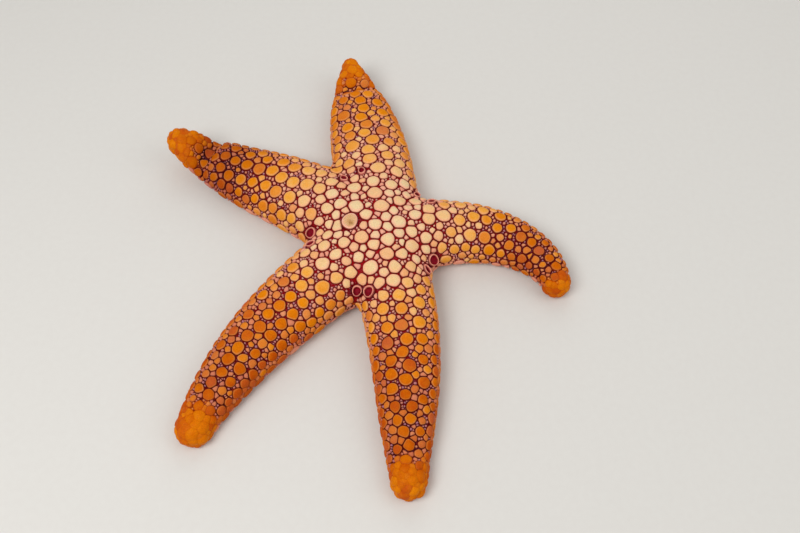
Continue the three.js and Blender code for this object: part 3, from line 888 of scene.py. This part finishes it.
def scatter_plates():
    """The mosaic of the whole animal: large plates with room between them, medium ones, small
    ones and granules in what is left; on the flat underside only medium and small ones, and
    none over the furrows and the mouth."""
    points = np.concatenate([candidates(TRIES_ABOVE, True), candidates(TRIES_BELOW, False)])
    plan = plan_at(points[:, :2])
    t, x, y = plan["t"], points[:, 0], points[:, 1]
    low = points[:, 2] - plan["lift"] < 0.5 * RIM_LEVEL * plan["height"]
    flat = low & (plan["edge"] < 0.88)
    open_flat = flat & (plan["away"] > FURROW_HALF + 0.75) & (plan["rho"] > MOUTH_RADIUS + 0.9)
    tip = ~flat & (tip_share(plan) > 0.5)
    back = ~flat & ~tip
    out = ramp(plan["rho"], 8, 14)
    bigger = (each_arm("plates", plan) - 1) * out
    shrink = (1 - 0.32 * t ** 2) * (1 + bigger)
    pits = stretched(PIT_POINTS, plan_at(PIT_POINTS[:, :2]))
    mosaic = Scatter(stretched(points, plan),
                     [*zip(pits, PIT_RADII + PIT_COLLAR + 0.45), (SIEVE_SPOT, SIEVE_RADIUS + 0.3)])
    loose = rng.uniform(0.35, 1.7, len(points)) * (1 - 1.6 * bigger)
    largest = (2.0 - 0.3 * out) * shrink
    # Two cream plates half under the sieve plate, a loose row along each arm's middle line, and
    # a closer one along both its sides.
    mosaic.put(LARGE, SIEVE_AT + np.array([-3.0, -0.6, 0]), 1.5)
    mosaic.put(LARGE, SIEVE_AT + np.array([-5.3, -0.1, 0]), 1.2)
    row = back & ~low & (plan["away"] < 0.9) & (plan["rho"] > 5)
    brim = back & ~low & (np.abs(plan["edge"] - 0.88) < 0.05) & (plan["rho"] > 12)
    mosaic.lay(LARGE, row, 1.45 * shrink, largest, loose, order=t)
    mosaic.lay(LARGE, brim, 1.15 * shrink, 1.7 * shrink, 0.2 + 0.6 * loose, order=t)
    mosaic.lay(LARGE, back, 1.3 * shrink, largest, loose)
    mosaic.lay(LARGE, tip, 0.8, 1.5, -0.35)
    mosaic.lay(MEDIUM, back, 0.98 * shrink, 1.3 * shrink, 0.16)
    mosaic.lay(MEDIUM, back, 0.68 * shrink, 0.98 * shrink, 0.14)
    mosaic.lay(MEDIUM, tip, 0.5, 0.8, -0.25)
    mosaic.lay(MEDIUM, open_flat, 0.5, 0.85, 0.12)
    # Small ones and granules come in clusters, more of them out on the arms: waves crossing in
    # three ways. Between the clusters the red skin of the disc is bare.
    cluster = np.sin(0.9 * x + 0.4 * y) + np.sin(0.5 * x - 1.0 * y + 2) + np.sin(0.35 * x + 0.8 * y + 4)
    small = (back & (cluster > -0.9 - 3 * out)) | open_flat
    mosaic.lay(SMALL, small, 0.38, 0.66, 0.1 + 0.06 * (1 - out))
    mosaic.lay(GRANULE, back & (cluster > 1.0 - 1.5 * out), 0.17, 0.3, 0.06)
    chosen = np.array(mosaic.chosen)
    plan = {key: value[chosen] for key, value in plan.items()}
    plan.update(points=points[chosen], radius=np.array(mosaic.radius, float), kind=np.array(mosaic.kind),
                flat=flat[chosen], low=low[chosen])
    return plan


def outlines(plates, gap, growth, oval):
    """Rounded outlines that share the space between neighbours, the pits and the sieve plate
    among them. Towards a neighbour a plate reaches to the line of equal power less half the
    gap; the limits of all neighbours and its own oval, which is broader than long by the arm's
    share, are joined by a soft minimum: (sum (cos / limit)^k)^(-1/k)."""
    points, radius, across, ahead = (plates[key] for key in ("points", "radius", "across", "ahead"))
    count, near, sharp = len(points), 16, 12
    neighbours = np.empty((count, near), int)
    spots = np.vstack([points, PIT_POINTS, SIEVE_SPOT])
    sizes = np.concatenate([radius, PIT_RADII + 1.3 * PIT_COLLAR, [SIEVE_RADIUS + 0.35]])
    for part in np.array_split(np.arange(count), count // 1500 + 1):
        apart = np.linalg.norm(points[part][:, None] - spots[None], axis=2) - sizes[None]
        apart[np.arange(len(part)), part] = np.inf
        neighbours[part] = np.argpartition(apart, near, axis=1)[:, :near]
    offset = spots[neighbours] - points[:, None]
    far = np.linalg.norm(offset, axis=2)
    flat = np.stack([(offset * across[:, None]).sum(2), (offset * ahead[:, None]).sum(2)], 2)
    toward = unit(flat)
    limit = (far ** 2 + radius[:, None] ** 2 - sizes[neighbours] ** 2) / (2 * far) - gap[:, None] / 2
    limit = np.where(neighbours < count, limit, np.minimum(limit, far - sizes[neighbours]))
    limit = np.maximum(limit, np.where(neighbours < count, 0.55, 0.4) * radius[:, None])
    phase = rng.uniform(0, 2 * math.pi, (2, count, 1))
    stretch = oval[:, None] * rng.uniform(0, 1, (count, 1))
    broad = each_arm("broad", plates) * ramp(plates["rho"], BROAD_FROM, 3)
    flank = ramp(plates["edge"], 0.75, 0.15)
    squeeze = (broad / (2 + 2 * broad) * (1 - 1.6 * flank))[:, None]

    def reach(sides, pick):
        """Distance to the outline at evenly spaced angles, and the angles' unit vectors."""
        angle = turns(sides)
        spoke = direction(angle)
        facing = np.clip(np.einsum("sk,pnk->psn", spoke, toward[pick]), 0, None)
        pull = ((facing / limit[pick][:, None]) ** sharp).sum(2)
        twice, thrice = (np.cos(n * angle + chance[pick]) for n, chance in zip((2, 3), phase))
        wave = stretch[pick] * twice + 0.035 * thrice
        wave = wave + squeeze[pick] * np.cos(2 * angle) - np.abs(squeeze[pick])
        own = (radius[pick] * growth[pick])[:, None] * (1 + wave)
        return (pull + own ** -sharp) ** (-1 / sharp), spoke

    return reach


# From the foot in the skin over the shoulder towards the middle: share of the plate's reach,
# share of its height, the place on the plate that the material reads, the share of the reach in
# the map, where the wall is laid out flat round the top, and how far in mm the foot stands out
# beyond the wall, carrying the red of the skin that climbs it, deepened by painted shade.
PROFILES = {
    LARGE: [(1.0, -0.3, 1.8, 1.12, 0.2), (1.0, 0.04, 1.7, 1.09, 0.15), (1.0, 0.34, 1.5, 1.05, 0.04),
            (0.99, 0.58, 1.1, 1.0, 0), (0.955, 0.78, 0.97, 0.95, 0), (0.89, 0.89, 0.88, 0.89, 0),
            (0.76, 0.95, 0.76, 0.76, 0), (0.5, 0.99, 0.5, 0.5, 0)],
    MEDIUM: [(1.0, -0.3, 1.8, 1.12, 0.19), (1.0, 0.06, 1.7, 1.08, 0.13), (0.99, 0.45, 1.3, 1.02, 0.01),
             (0.97, 0.64, 1.04, 0.98, 0), (0.9, 0.84, 0.92, 0.91, 0), (0.6, 0.97, 0.6, 0.6, 0)],
    SMALL: [(1.0, -0.3, 1.8, 1.12, 0.15), (1.0, 0.1, 1.6, 1.05, 0.09), (0.95, 0.6, 1.0, 0.95, 0),
            (0.68, 0.92, 0.68, 0.68, 0)],
    GRANULE: [(1.0, -0.3, 1.6, 1.1, 0.06), (0.97, 0.35, 1.1, 1.0, 0), (0.62, 0.85, 0.62, 0.62, 0)],
}


def disc_faces(rings, sides, count):
    """Faces of count closed caps, each of rings x sides points followed by a top and a foot
    point: quads between the rings, and fans to the two points."""
    each = rings * sides + 2
    first = np.arange(count)[:, None, None] * each
    here = (np.arange(rings - 1)[:, None] * sides + np.arange(sides)).ravel()
    turned = (np.arange(rings - 1)[:, None] * sides + np.roll(np.arange(sides), -1)).ravel()
    quads = np.stack([here, turned, turned + sides, here + sides], 1)
    rim, last = np.arange(sides), (rings - 1) * sides
    top = np.stack([last + rim, last + np.roll(rim, -1), np.full(sides, each - 2)], 1)
    foot = np.stack([np.roll(rim, -1), rim, np.full(sides, each - 1)], 1)
    return (quads[None] + first).reshape(-1, 4), (np.concatenate([top, foot])[None] + first).reshape(-1, 3)


def plate_block(plates, pick, kind):
    """Plates of one kind: each ring of the profile is the outline scaled about the plate's
    middle, laid on the body's surface and lifted to its height above the skin; a crown of the
    form 1 - share^2 makes the top convex."""
    profile = np.array(PROFILES[kind] + [(0.0, 1.0, 0.0, 0.0, 0.0), (0.0, -0.3, 1.8, 0.0, 0.0)])
    sides = KIND_SIDES[kind]
    rings = len(profile) - 2
    share, level, place_on, spread, flare = profile.T
    rays, spoke = plates["reach"](sides, pick)
    ring_of = np.concatenate([np.repeat(np.arange(rings), sides), [rings, rings + 1]])
    spokes = np.concatenate([np.tile(spoke, (rings, 1)), np.zeros((2, 2))])
    reach = np.concatenate([np.tile(rays, (1, rings)), np.zeros((len(rays), 2))], 1)
    flat = (reach * share[ring_of] + flare[ring_of])[..., None] * spokes
    mapped = reach[..., None] * spokes * spread[ring_of][:, None]
    across, ahead, normals = (plates[key][pick][:, None] for key in ("across", "ahead", "normals"))
    laid = plates["points"][pick][:, None] + flat[..., :1] * across + flat[..., 1:] * ahead
    normal = np.broadcast_to(normals, laid.shape)
    laid = settle(laid.reshape(-1, 3), normal.reshape(-1, 3), 2).reshape(laid.shape)
    crown = np.where(level[ring_of] > 0.7, 1 - share[ring_of] ** 2, 0)
    lift = plates["height"][pick][:, None] * (level[ring_of] - 1) + plates["crown"][pick][:, None] * crown
    laid = laid + normal * (lift - plates["inset"][pick][:, None])[..., None]
    laid[..., 2] = np.maximum(laid[..., 2], LOWEST)
    return laid, mapped, np.tile(place_on[ring_of], len(rays)), disc_faces(rings, sides, len(rays))


DISC_MAP = 44.0      # mm across the disc's own map
ARM_MAP_FROM = 0.2   # share of an arm's length where its own map starts


def round_map(plates):
    """Place on an unwrap of the skin of one arm: v along the arm, u round it from furrow to
    furrow over the back, with 0.5 on the back's middle line. The turn round the arm is the
    arc-sine of the edge share, counted on past the rim below it."""
    turn = np.arcsin(np.clip(plates["edge"], 0, 1)) / math.pi
    turn = np.where(plates["low"], 1 - turn, turn) * np.sign(plates["side"])
    return np.column_stack([0.5 + 0.48 * turn, 0.03 + 1.06 * (plates["far"] - ARM_MAP_FROM)])


MARKS = ("warmth", "pale", "mauve", "merged", "dusk")


def build_plates(name, chosen, plates, flat_map):
    """One joined mesh of the chosen plates, all kinds together. The disc's pieces are mapped
    from above or below, the arms' pieces round the arm."""
    roots = 0.5 + plates["points"][:, :2] / DISC_MAP if flat_map else round_map(plates)
    blocks, count = [], 0
    for kind in PROFILES:
        pick = np.flatnonzero(chosen & (plates["kind"] == kind))
        if not len(pick):
            continue
        block, mapped, rim, (quads, tris) = plate_block(plates, pick, kind)
        each = block.shape[1]
        feet = count + np.arange(1, len(pick) + 1) * each - 1
        maps = patches(roots[pick], mapped).reshape(-1, 2)
        values = [np.repeat(plates[mark][pick], each) for mark in MARKS]
        blocks.append((block.reshape(-1, 3), quads + count, tris + count, maps, feet, rim, *values))
        count += len(pick) * each
    points, quads, tris, maps, feet, rim, *values = (np.concatenate(column) for column in zip(*blocks))
    piece = mesh_piece(name, points, [quads, tris], PLATE, maps, dict(zip(MARKS, values), rim=rim), feet)


# By kind, from large plates to granules: gap to the neighbours, growth into free room and how
# oval (shares of the radius), warmth against the place's own, share of blush and of lilac,
# height, crown and inset into the skin (mm).
GAP = np.array([0.28, 0.27, 0.24, 0.13])
GROWTH = np.array([1.3, 1.6, 1.9, 1.35])
OVAL = np.array([0.2, 0.26, 0.2, 0.1])
WARMER = np.array([0.05, -0.1, -0.2, -0.2])
BLUSH = np.array([0.0, 0.2, 0.75, 0.7])
LILAC = np.array([0.0, 0.0, 0.06, 0.55])
HEIGHT = np.array([0.55, 0.52, 0.46, 0.36])
CROWN = np.array([0.14, 0.12, 0.07, 0.04])
INSET = np.array([0.0, 0.02, 0.06, 0.12])
CENTRAL = 15.5         # mm from the middle, within which plates belong to the disc's pieces


def make_plates():
    """Plates of all sides: sizes from the scatter, colours by kind, place and chance."""
    plates = scatter_plates()
    kind, t, rho, edge, flat = (plates[key] for key in ("kind", "t", "rho", "edge", "flat"))
    plates["normals"] = unit(slope_of(plates["points"], 0.2))
    plates["across"] = unit(np.cross(lengthwise(plates), plates["normals"]))
    plates["ahead"] = np.cross(plates["normals"], plates["across"])
    merged = np.where(flat, 0.35, merging(plates))
    out = ramp(rho, 9, each_arm("cream", plates))
    luck = rng.normal(0, 1, len(kind))
    knobby = tip_share(plates)
    gap = GAP[kind] * (1 - 1.3 * merged) * (1.4 - 0.4 * out)
    gap = gap * (1 + each_arm("gaps", plates) * ramp(t, 0.45, 0.2)) - 0.6 * knobby
    plates["reach"] = outlines(plates, gap, GROWTH[kind] + 0.25 * merged, OVAL[kind])
    # Warmth, from cream to deep orange, grows outwards and on the flanks, and is less on small
    # plates; the flat underside and the knobs of the tips have their own.
    warmth = 0.02 + (0.66 + each_arm("glow", plates)) * out + 0.16 * t
    warmth += WARMER[kind] * np.clip(out * 2, 0.2, 1)
    warmth += 0.3 * ramp(edge, 0.72, 0.28) * (0.8 - 0.45 * out) + 0.08 * luck
    warmth = np.where(flat, 0.4 + 0.06 * luck, warmth * (1 - knobby) + (0.86 + 0.07 * luck) * knobby)
    # The hem, a row or two at the foot of the walls, is pale.
    hem = plates["low"] & ~flat & (merged < 0.5)
    warmth = np.where(hem, 0.35 * warmth, warmth)
    pale = BLUSH[kind] + 0.12 * luck
    blend = np.maximum(merged, np.minimum(2.5 * knobby, 1))
    pale = np.where(flat, 0.5 + 0.1 * luck, pale * (1 - 0.8 * blend))
    pale = np.where(hem, 0.85, pale)
    mauve = LILAC[kind] + 0.18 * luck * (kind == GRANULE)
    mauve = mauve * np.clip(0.35 + 1.2 * out, 0, 1) * (1 - blend)
    # The plates of the outer arms are darkened too: partly painted shade, partly their own darker colour.
    plates.update(merged=blend, warmth=np.clip(warmth, 0, 1), pale=np.clip(pale, 0, 0.9),
                  mauve=np.clip(mauve, 0, 0.9), dusk=dusk_at(plates))
    knob = knobby * plates["radius"] * rng.uniform(0.3, 1.3, len(kind)) * each_arm("knobs", plates)
    plates["height"] = np.where(flat, 0.36, HEIGHT[kind])
    plates["crown"] = np.where(flat, 0.05, CROWN[kind] + 0.28 * knob)
    plates["inset"] = np.where(flat, 0.06, INSET[kind])
    central = rho < CENTRAL
    build_plates("disc_plates", central & ~plates["low"], plates, True)
    build_plates("disc_under_plates", central & plates["low"], plates, True)
    for i, name in enumerate(NAMES):
        build_plates(name + "_plates", ~central & (plates["arm"] == i), plates, False)


# ------------------------------------------------------------------ pits, sieve plate, mouth

# Half the section of a pit's cup, from the foot over the collar down to the middle: distance
# from the axis in shares of the pit's radius, plus collar widths, height in mm, and collar mark.
CUP = np.array([
    (1, 1.9, -0.9, 0.0), (1, 1.45, -0.45, 0.1), (1, 1.0, -0.1, 0.5), (1, 0.82, 0.09, 1),
    (1, 0.55, 0.17, 1), (1, 0.28, 0.12, 1), (1, 0.06, -0.02, 0.8), (1, -0.05, -0.2, 0.1),
    (0.95, 0, -0.42, 0), (0.8, 0, -0.62, 0), (0.45, 0, -0.74, 0)])


def make_pits():
    """Each pit is a turned cup with a rolled collar, drawn out along the outline of its axil,
    with a slight wave round the rim: radius times 1 + 0.04 cos(3 angle + chance). The collar is
    broad towards the middle of the disc and thin away from it: 1 - 0.45 sin(angle)."""
    sides, count, rings = 40, len(PIT_POINTS), len(CUP)
    angle = turns(sides)
    outward = unit(PIT_POINTS * np.array([1, 1, 0]))
    across = unit(np.cross(outward, PIT_NORMALS))
    ahead = np.cross(PIT_NORMALS, across)
    wave = 1 + 0.04 * np.cos(3 * angle + rng.uniform(0, 6, (count, 1)))
    collar = PIT_COLLAR * CUP[:, 1, None] * (1 - 0.45 * np.sin(angle))
    reach = (CUP[:, 0] * PIT_RADII[:, None])[:, :, None] * wave[:, None] + collar
    long_way = np.sqrt(PIT_TABLE[:, 3])[:, None, None]
    right, up = reach * np.cos(angle) / long_way, reach * np.sin(angle) * long_way
    walls = PIT_POINTS[:, None, None] + right[..., None] * across[:, None, None] \
        + up[..., None] * ahead[:, None, None] + CUP[:, 2, None, None] * PIT_NORMALS[:, None, None]
    bottom = PIT_POINTS - 0.76 * PIT_NORMALS
    foot = PIT_POINTS - 1.3 * PIT_NORMALS
    points = np.concatenate([walls.reshape(count, -1, 3), bottom[:, None], foot[:, None]], 1)
    quads, tris = disc_faces(rings, sides, count)
    mark = np.tile(np.concatenate([np.repeat(CUP[:, 3], sides), [0, 1]]), count)
    piece = mesh_piece("pits", points.reshape(-1, 3), [quads, tris], PIT, layers=dict(collar=mark))


SIEVE_LONG = 1.16      # how much longer the sieve plate is than broad
SIEVE_HEART = (0.25, -0.75)
SIEVE_TURN = math.radians(55)    # the side towards which it is pear-shaped
# The foot of the sieve plate, where the red skin climbs it, drawn darker as painted shade: mm out from its
# edge and below it.
SIEVE_FOOT = np.array([(0.16, 0.95), (0.14, 0.5), (0.06, 0.2)])


def make_sieve():
    """The sieve plate: a low pear-shaped cushion with fine winding grooves from its middle. Height:
    crown of the form (1 - r^6)^(1/2), less grooves where sin(branches angle + wander) falls
    below a quarter; branches grow in number towards the edge."""
    sides, rings = 160, 34
    r = np.linspace(1, 0, rings + 1)[:-1, None]
    angle = turns(sides)[None]
    branches = np.where(r > 0.62, 26, np.where(r > 0.34, 16, 8))
    wander = 1.2 * np.sin(6 * r + 3 * angle) + 0.9 * np.sin(11 * r - 5 * angle)
    ridge = np.sin(branches * angle + wander)
    groove = 0.1 * np.clip(0.25 - ridge, 0, 1) * ramp(r, 0.93, -0.1) * ramp(r, 0, 0.1)
    crown = SIEVE_TOP - 0.28 + 0.3 * np.sqrt(1 - r ** 6) + 0.1 * (1 - r ** 2)
    out = np.concatenate([SIEVE_RADIUS + SIEVE_FOOT[:, :1], SIEVE_RADIUS * r])
    turned = angle - SIEVE_TURN
    out = out * (1 + 0.04 * np.cos(2 * turned) + 0.035 * np.cos(3 * turned))
    x = out * np.cos(angle) / math.sqrt(SIEVE_LONG)
    y = out * np.sin(angle) * math.sqrt(SIEVE_LONG)
    foot = (crown - groove)[:1] - SIEVE_FOOT[:, 1:]
    z = np.concatenate([foot, crown - groove])
    points = np.stack([SIEVE_AT[0] + x, SIEVE_AT[1] + y, z], -1).reshape(-1, 3)
    ends = np.array([[*SIEVE_AT[:2], crown[-1, 0] + 0.02], [*SIEVE_AT[:2], z.min()]])
    points = np.concatenate([points, ends])
    quads, tris = disc_faces(len(z), sides, 1)
    heart = 0.75 * np.exp(-((x - SIEVE_HEART[0]) ** 2 + (y - SIEVE_HEART[1]) ** 2) / 0.35)
    low = np.zeros((len(SIEVE_FOOT), 1))
    # The groove mark is painted shade, deeper where the grooves are deeper, together with the sieve plate's
    # own brown spot; the foot mark is the red of the skin that climbs the foot, deepened by painted shade.
    marks = {"groove": 0.3 * np.concatenate([low + 0 * angle, groove]) / 0.1 + heart,
             "rim": np.concatenate([low, (r - 0.62) / 0.3]) + 0 * angle,
             "foot": np.concatenate([low + 1, 0.6 * (r > 0.99)]) + 0 * angle}
    top_and_foot = {"groove": (1.0, 0.0), "rim": (0.0, 0.0), "foot": (0.0, 1.0)}
    layers = {name: np.append(np.clip(mark, 0, 1).ravel(), top_and_foot[name])
              for name, mark in marks.items()}
    piece = mesh_piece("sieve", points, [quads, tris], SIEVE, layers=layers)
    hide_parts("madreporite")


def arm_phase(angle):
    """Angle that is 0, 72, 144 ... degrees on the arms' bearings, in straight pieces between."""
    turned = (angle - BEARINGS[0]) % (2 * math.pi) + BEARINGS[0]
    return np.interp(turned, ROUND, np.arange(len(ROUND)) * 2 * math.pi / 5)


LIP_RADIUS = 0.75      # the opening's, in mm
JAW_RADIUS = 0.95      # where the jaws begin and the lip puckers most
SHEET_RADIUS = 3.3     # the outer edge of the sheet
SHEET_TOP = 2.45


def make_mouth():
    """The mouth: a sheet of skin that droops to a puckered ring, between five jaws that stand
    in from the corners between the arms. The lower face is at 1.75 + 0.12 (outer radius - r),
    less 1.15 times the jaws, which are (0.5 - 0.5 cos 5 phase)^3 across and the root of a hump
    in radius, and less the pucker, a bell round the jaws' radius."""
    sides, rings = 150, 30
    angle = turns(sides)[None]
    r = np.linspace(LIP_RADIUS, SHEET_RADIUS, rings)[:, None]
    jaw = (0.5 - 0.5 * np.cos(5 * arm_phase(angle))) ** 3
    hump = ramp(r, JAW_RADIUS, 0.5) * ramp(r, SHEET_RADIUS, -0.6)
    pucker = 0.18 * np.exp(-((r - JAW_RADIUS) / 0.2) ** 2) * (1 + 0.5 * np.cos(20 * angle))
    lower = 1.75 + 0.12 * (SHEET_RADIUS - r) - 1.15 * jaw * np.sqrt(hump) - pucker
    upper = np.full_like(lower, SHEET_TOP)
    flat = r[..., None] * direction(angle)
    under = np.concatenate([flat, lower[..., None]], -1)
    over = np.concatenate([flat, upper[..., None]], -1)[::-1]
    loop = np.concatenate([under, over, under[:1]])
    points = np.concatenate([loop, loop[:, :1]], 1).reshape(-1, 3)
    quads = grid_faces(2 * rings + 1, sides + 1)
    piece = mesh_piece("mouth_parts", points, [quads], LIP)
    weld(piece)
    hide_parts("mouth")


# ------------------------------------------------------------------ furrow spines, tube feet

FOOT_PITCH = 1.15      # mm between tube feet of one row
FOOT_STAGGER = 0.57    # mm that the feet of one row stand ahead of the other's
FOOT_RADIUS = 0.26
SPINE_PITCH = 0.46     # mm between spines of one edge
SPINE_RADIUS = 0.19
FRINGE = 10            # longer spines in each corner of the mouth
FRINGE_RADIUS = 0.2
# Sections from root to tip: share of the length and share of the radius. A foot ends in a sucker.
FOOT_SHAPE = [(0, 1.25), (0.12, 1.05), (0.3, 0.9), (0.5, 0.82), (0.7, 0.72), (0.82, 0.74), (0.89, 1.0),
              (0.94, 1.42), (0.98, 1.45), (1.0, 1.0)]
SPINE_SHAPE = [(0, 0.9), (0.3, 1.1), (0.7, 1.05), (0.92, 0.8), (1.0, 0.4)]


def shafts(root, tip, bend, radius, profile, sides, squash=1.0):
    """Tapered shafts from roots to tips: the middle line is root + (tip - root) s + bend
    4 s (1 - s), the radius is given by the profile, and the section is an ellipse. Also gives
    one shaft's flattened form, a disc with the root's ring outermost and the tip in the middle."""
    s, share = np.array(profile).T
    ahead = unit(tip - root)
    right = unit(np.cross(ahead, np.array([0.0, 0.0, 1.0]) + 0.01))
    over = np.cross(right, ahead)
    angle = turns(sides)
    middle = root[:, None] + (tip - root)[:, None] * s[:, None] + bend[:, None] * (4 * s * (1 - s))[:, None]
    around = np.cos(angle)[:, None] * right[:, None, None] \
        + squash * np.sin(angle)[:, None] * over[:, None, None]
    walls = middle[:, :, None] + (radius[:, None] * share)[:, :, None, None] * around
    ends = np.stack([tip + ahead * 0.02, root], 1)
    points = np.concatenate([walls.reshape(len(root), -1, 3), ends], 1)
    flat = (np.arange(len(s), 0, -1)[:, None, None] * direction(angle)).reshape(-1, 2)
    return points, disc_faces(len(s), sides, len(root)), np.concatenate([flat, np.zeros((2, 2))])


def both_sides(pitch, first, last):
    """Stations at a pitch along both sides of all furrows: arm number, distance along, share of
    the length, side, and how much of the furrow's depth is left there."""
    stations = [np.arange(first, last * length, pitch) for length in LENGTHS]
    arm = np.tile(np.repeat(np.arange(len(ARMS)), [len(run) for run in stations]), 2)
    run = np.tile(np.concatenate(stations), 2)
    t = run / LENGTHS[arm]
    side = np.repeat([1.0, -1.0], len(arm) // 2)
    return arm, run, t, side, furrow_fade(t)


def beside(arm, run, offset):
    """Plan points at signed offsets to the left of the arms' middle lines, and the lift there."""
    spots = np.empty((len(arm), 2))
    for i in range(len(ARMS)):
        pick = arm == i
        left = left_of(heading_at(i, run[pick] / LENGTHS[i]))
        spots[pick] = line_point(i, run[pick]) + left * offset[pick, None]
    return spots, curl_lift(each_arm("curl", dict(arm=arm)), run / LENGTHS[arm])


def shaft_piece(name, points, faces, flat, material, root):
    """One joined mesh of shafts, with root as their places on strips of the skin's unwrap."""
    feet = np.arange(1, len(points) + 1) * points.shape[1] - 1
    return mesh_piece(name, points.reshape(-1, 3), list(faces), material,
                      patches(root, flat[None]).reshape(-1, 2), feet=feet)


def strip_map(arm, t, side):
    """Place on the skin's unwrap, one strip for each arm: v along it, u from side to side."""
    return np.column_stack([(arm + 0.5 + 0.25 * side) / 5, 0.02 + 0.95 * t])


def make_feet():
    """Tube feet, two rows in each furrow, hanging from its roof to just above the floor, each
    a soft tapering tube with a sucker disc at its end."""
    arm, run, t, side, fade = both_sides(FOOT_PITCH, 3.6, 0.98)
    run = run + FOOT_STAGGER * (side > 0) + rng.uniform(-0.12, 0.12, len(arm))
    root_at, lift = beside(arm, run, side * 0.5)
    tip_at, _ = beside(arm, run + rng.uniform(-0.35, 0.35, len(arm)), side * rng.uniform(0.5, 1.0, len(arm)))
    root = np.column_stack([root_at, lift + UNDER_COAT + 1.25 * fade + 0.25])
    tip = np.column_stack([tip_at, lift * 0.9 + 0.12 + 0.25 * rng.random(len(arm)) ** 2])
    bend = np.column_stack([rng.uniform(-0.15, 0.15, (len(arm), 2)), np.zeros(len(arm))])
    points, faces, flat = shafts(root, tip, bend, FOOT_RADIUS * (0.6 + 0.4 * fade), FOOT_SHAPE, 12)
    points[..., 2] = np.maximum(points[..., 2], LOWEST)
    piece = shaft_piece("tube_feet", points, faces, flat, FOOT, strip_map(arm, t, side))


def make_spines():
    """Blunt flat spines along both edges of each furrow, two to a plate, leaning over it, and a
    fringe of longer ones round the jaws."""
    arm, run, t, side, fade = both_sides(SPINE_PITCH, 4.2, 0.99)
    run = run + rng.uniform(-0.06, 0.06, len(arm))
    root_at, lift = beside(arm, run, side * (1.75 + 0.25 * fade))
    tip_at, _ = beside(arm, run, side * (0.75 + rng.uniform(0.3, 0.6, len(arm)) * fade))
    root = np.column_stack([root_at, lift + 0.5])
    tip = np.column_stack([tip_at, lift + 0.2 + 0.12 * rng.random(len(arm))])
    fringe, each = np.repeat(np.arange(len(ARMS)), FRINGE), np.tile(np.arange(FRINGE), len(ARMS))
    corner = (ROUND[fringe] + ROUND[fringe + 1]) / 2
    middle = (FRINGE - 1) / 2
    fan = (each - middle) / middle
    out = direction(corner)
    cross = left_of(out)
    jaw_root = out * (3.0 - 1.1 * (1 - np.abs(fan)))[:, None] + cross * (0.95 * fan)[:, None]
    jaw_tip = jaw_root * 0.45 + cross * (0.25 * fan)[:, None]
    root = np.concatenate([root, np.column_stack([jaw_root, np.full(len(fan), 0.75)])])
    tip = np.concatenate([tip, np.column_stack([jaw_tip, np.full(len(fan), 0.5)])])
    arm, t = np.append(arm, fringe), np.append(t, np.full(len(fan), 0.03))
    side = np.append(side, fan)
    radius = np.repeat([SPINE_RADIUS, FRINGE_RADIUS], [len(arm) - len(fan), len(fan)])
    points, faces, flat = shafts(root, tip, np.zeros_like(root), radius, SPINE_SHAPE, 8, squash=0.65)
    points[..., 2] = np.maximum(points[..., 2], LOWEST)
    piece = shaft_piece("furrow_spines", points, faces, flat, SPINE, strip_map(arm, t, side))


# ------------------------------------------------------------------ floor, light, camera

CAMERA_RISE = 58.07        # degrees above the floor
CAMERA_DISTANCE = 206.0
CAMERA_AIM = (5.19, -7.19, 5.0)
LENS = 40.5
NEAREST = 0.005            # m in front of the camera
# Lamps: name, place (mm), width (m) and power (W).
LAMPS = (("key", (-170, -160, 330), 0.22, 0.84), ("fill", (240, -60, 220), 0.3, 0.22),
         ("back", (40, 260, 200), 0.3, 0.18))
LIT = (0, 0, 4)            # where the lamps point (mm)
ROOM = 0.46                # strength of the pale room's light
ROOM_TINT = (1.0, 0.99, 0.97, 1)    # linear: nearly white, a little warm
FLOOR_HALF = 1.5           # m from the middle of the floor to its edges


def look_from(name, data, spot, aim):
    """An object at a spot, with its -Z axis on the aim and +Y up."""
    thing = bpy.data.objects.new(name, data)
    bpy.context.scene.collection.objects.link(thing)
    thing.location = place(np.asarray(spot, float))
    ahead = Vector(np.asarray(aim, float) - np.asarray(spot, float))
    thing.rotation_euler = ahead.to_track_quat("-Z", "Y").to_euler()
    return thing


def make_camera():
    """The camera, over the animal's near side and looking down on it."""
    rise = math.radians(CAMERA_RISE)
    aim = np.array(CAMERA_AIM)
    spot = aim + CAMERA_DISTANCE * np.array([0, -math.cos(rise), math.sin(rise)])
    camera = bpy.data.cameras.new("camera")
    camera.lens = LENS
    camera.clip_start = NEAREST
    bpy.context.scene.camera = look_from("camera", camera, spot, aim)


def make_lights():
    """A large soft key high on the left front, a weaker fill on the right and a pale room."""
    for name, spot, size, watts in LAMPS:
        lamp = bpy.data.lights.new(name, "AREA")
        lamp.shape = "DISK"
        lamp.size = size
        lamp.energy = watts
        look_from(name, lamp, spot, LIT)
    world = bpy.data.worlds.new("room")
    world.use_nodes = True
    light = world.node_tree.nodes["Background"].inputs
    light["Color"].default_value = ROOM_TINT
    light["Strength"].default_value = ROOM
    bpy.context.scene.world = world
    bpy.context.scene.view_settings.view_transform = "Standard"


def make_floor():
    """A pale, smooth studio board."""
    m = new_material("studio_board")
    coords = step(m, "ShaderNodeTexCoord", out="Object")
    grain = step(m, "ShaderNodeTexNoise", {"Vector": coords, "Scale": per_mm(1.5), "Detail": 3.0})
    tint = step(m, "ShaderNodeMix", {"Factor": grain, "A": "#D6D3CE", "B": "#DAD8D3"}, **MIX)
    finish(m, step(m, "ShaderNodeBsdfPrincipled", {"Base Color": tint, "Roughness": 0.7}))
    mesh = bpy.data.meshes.new("floor")
    corners = [(x * FLOOR_HALF, y * FLOOR_HALF, 0) for x, y in ((-1, -1), (1, -1), (1, 1), (-1, 1))]
    mesh.from_pydata(corners, [], [(0, 1, 2, 3)])
    floor = bpy.data.objects.new("floor", mesh)
    mesh.materials.append(m)
    bpy.context.scene.collection.objects.link(floor)


make_camera()
make_lights()
make_floor()
make_skin()
make_plates()
make_pits()
make_sieve()
make_mouth()
make_spines()
make_feet()
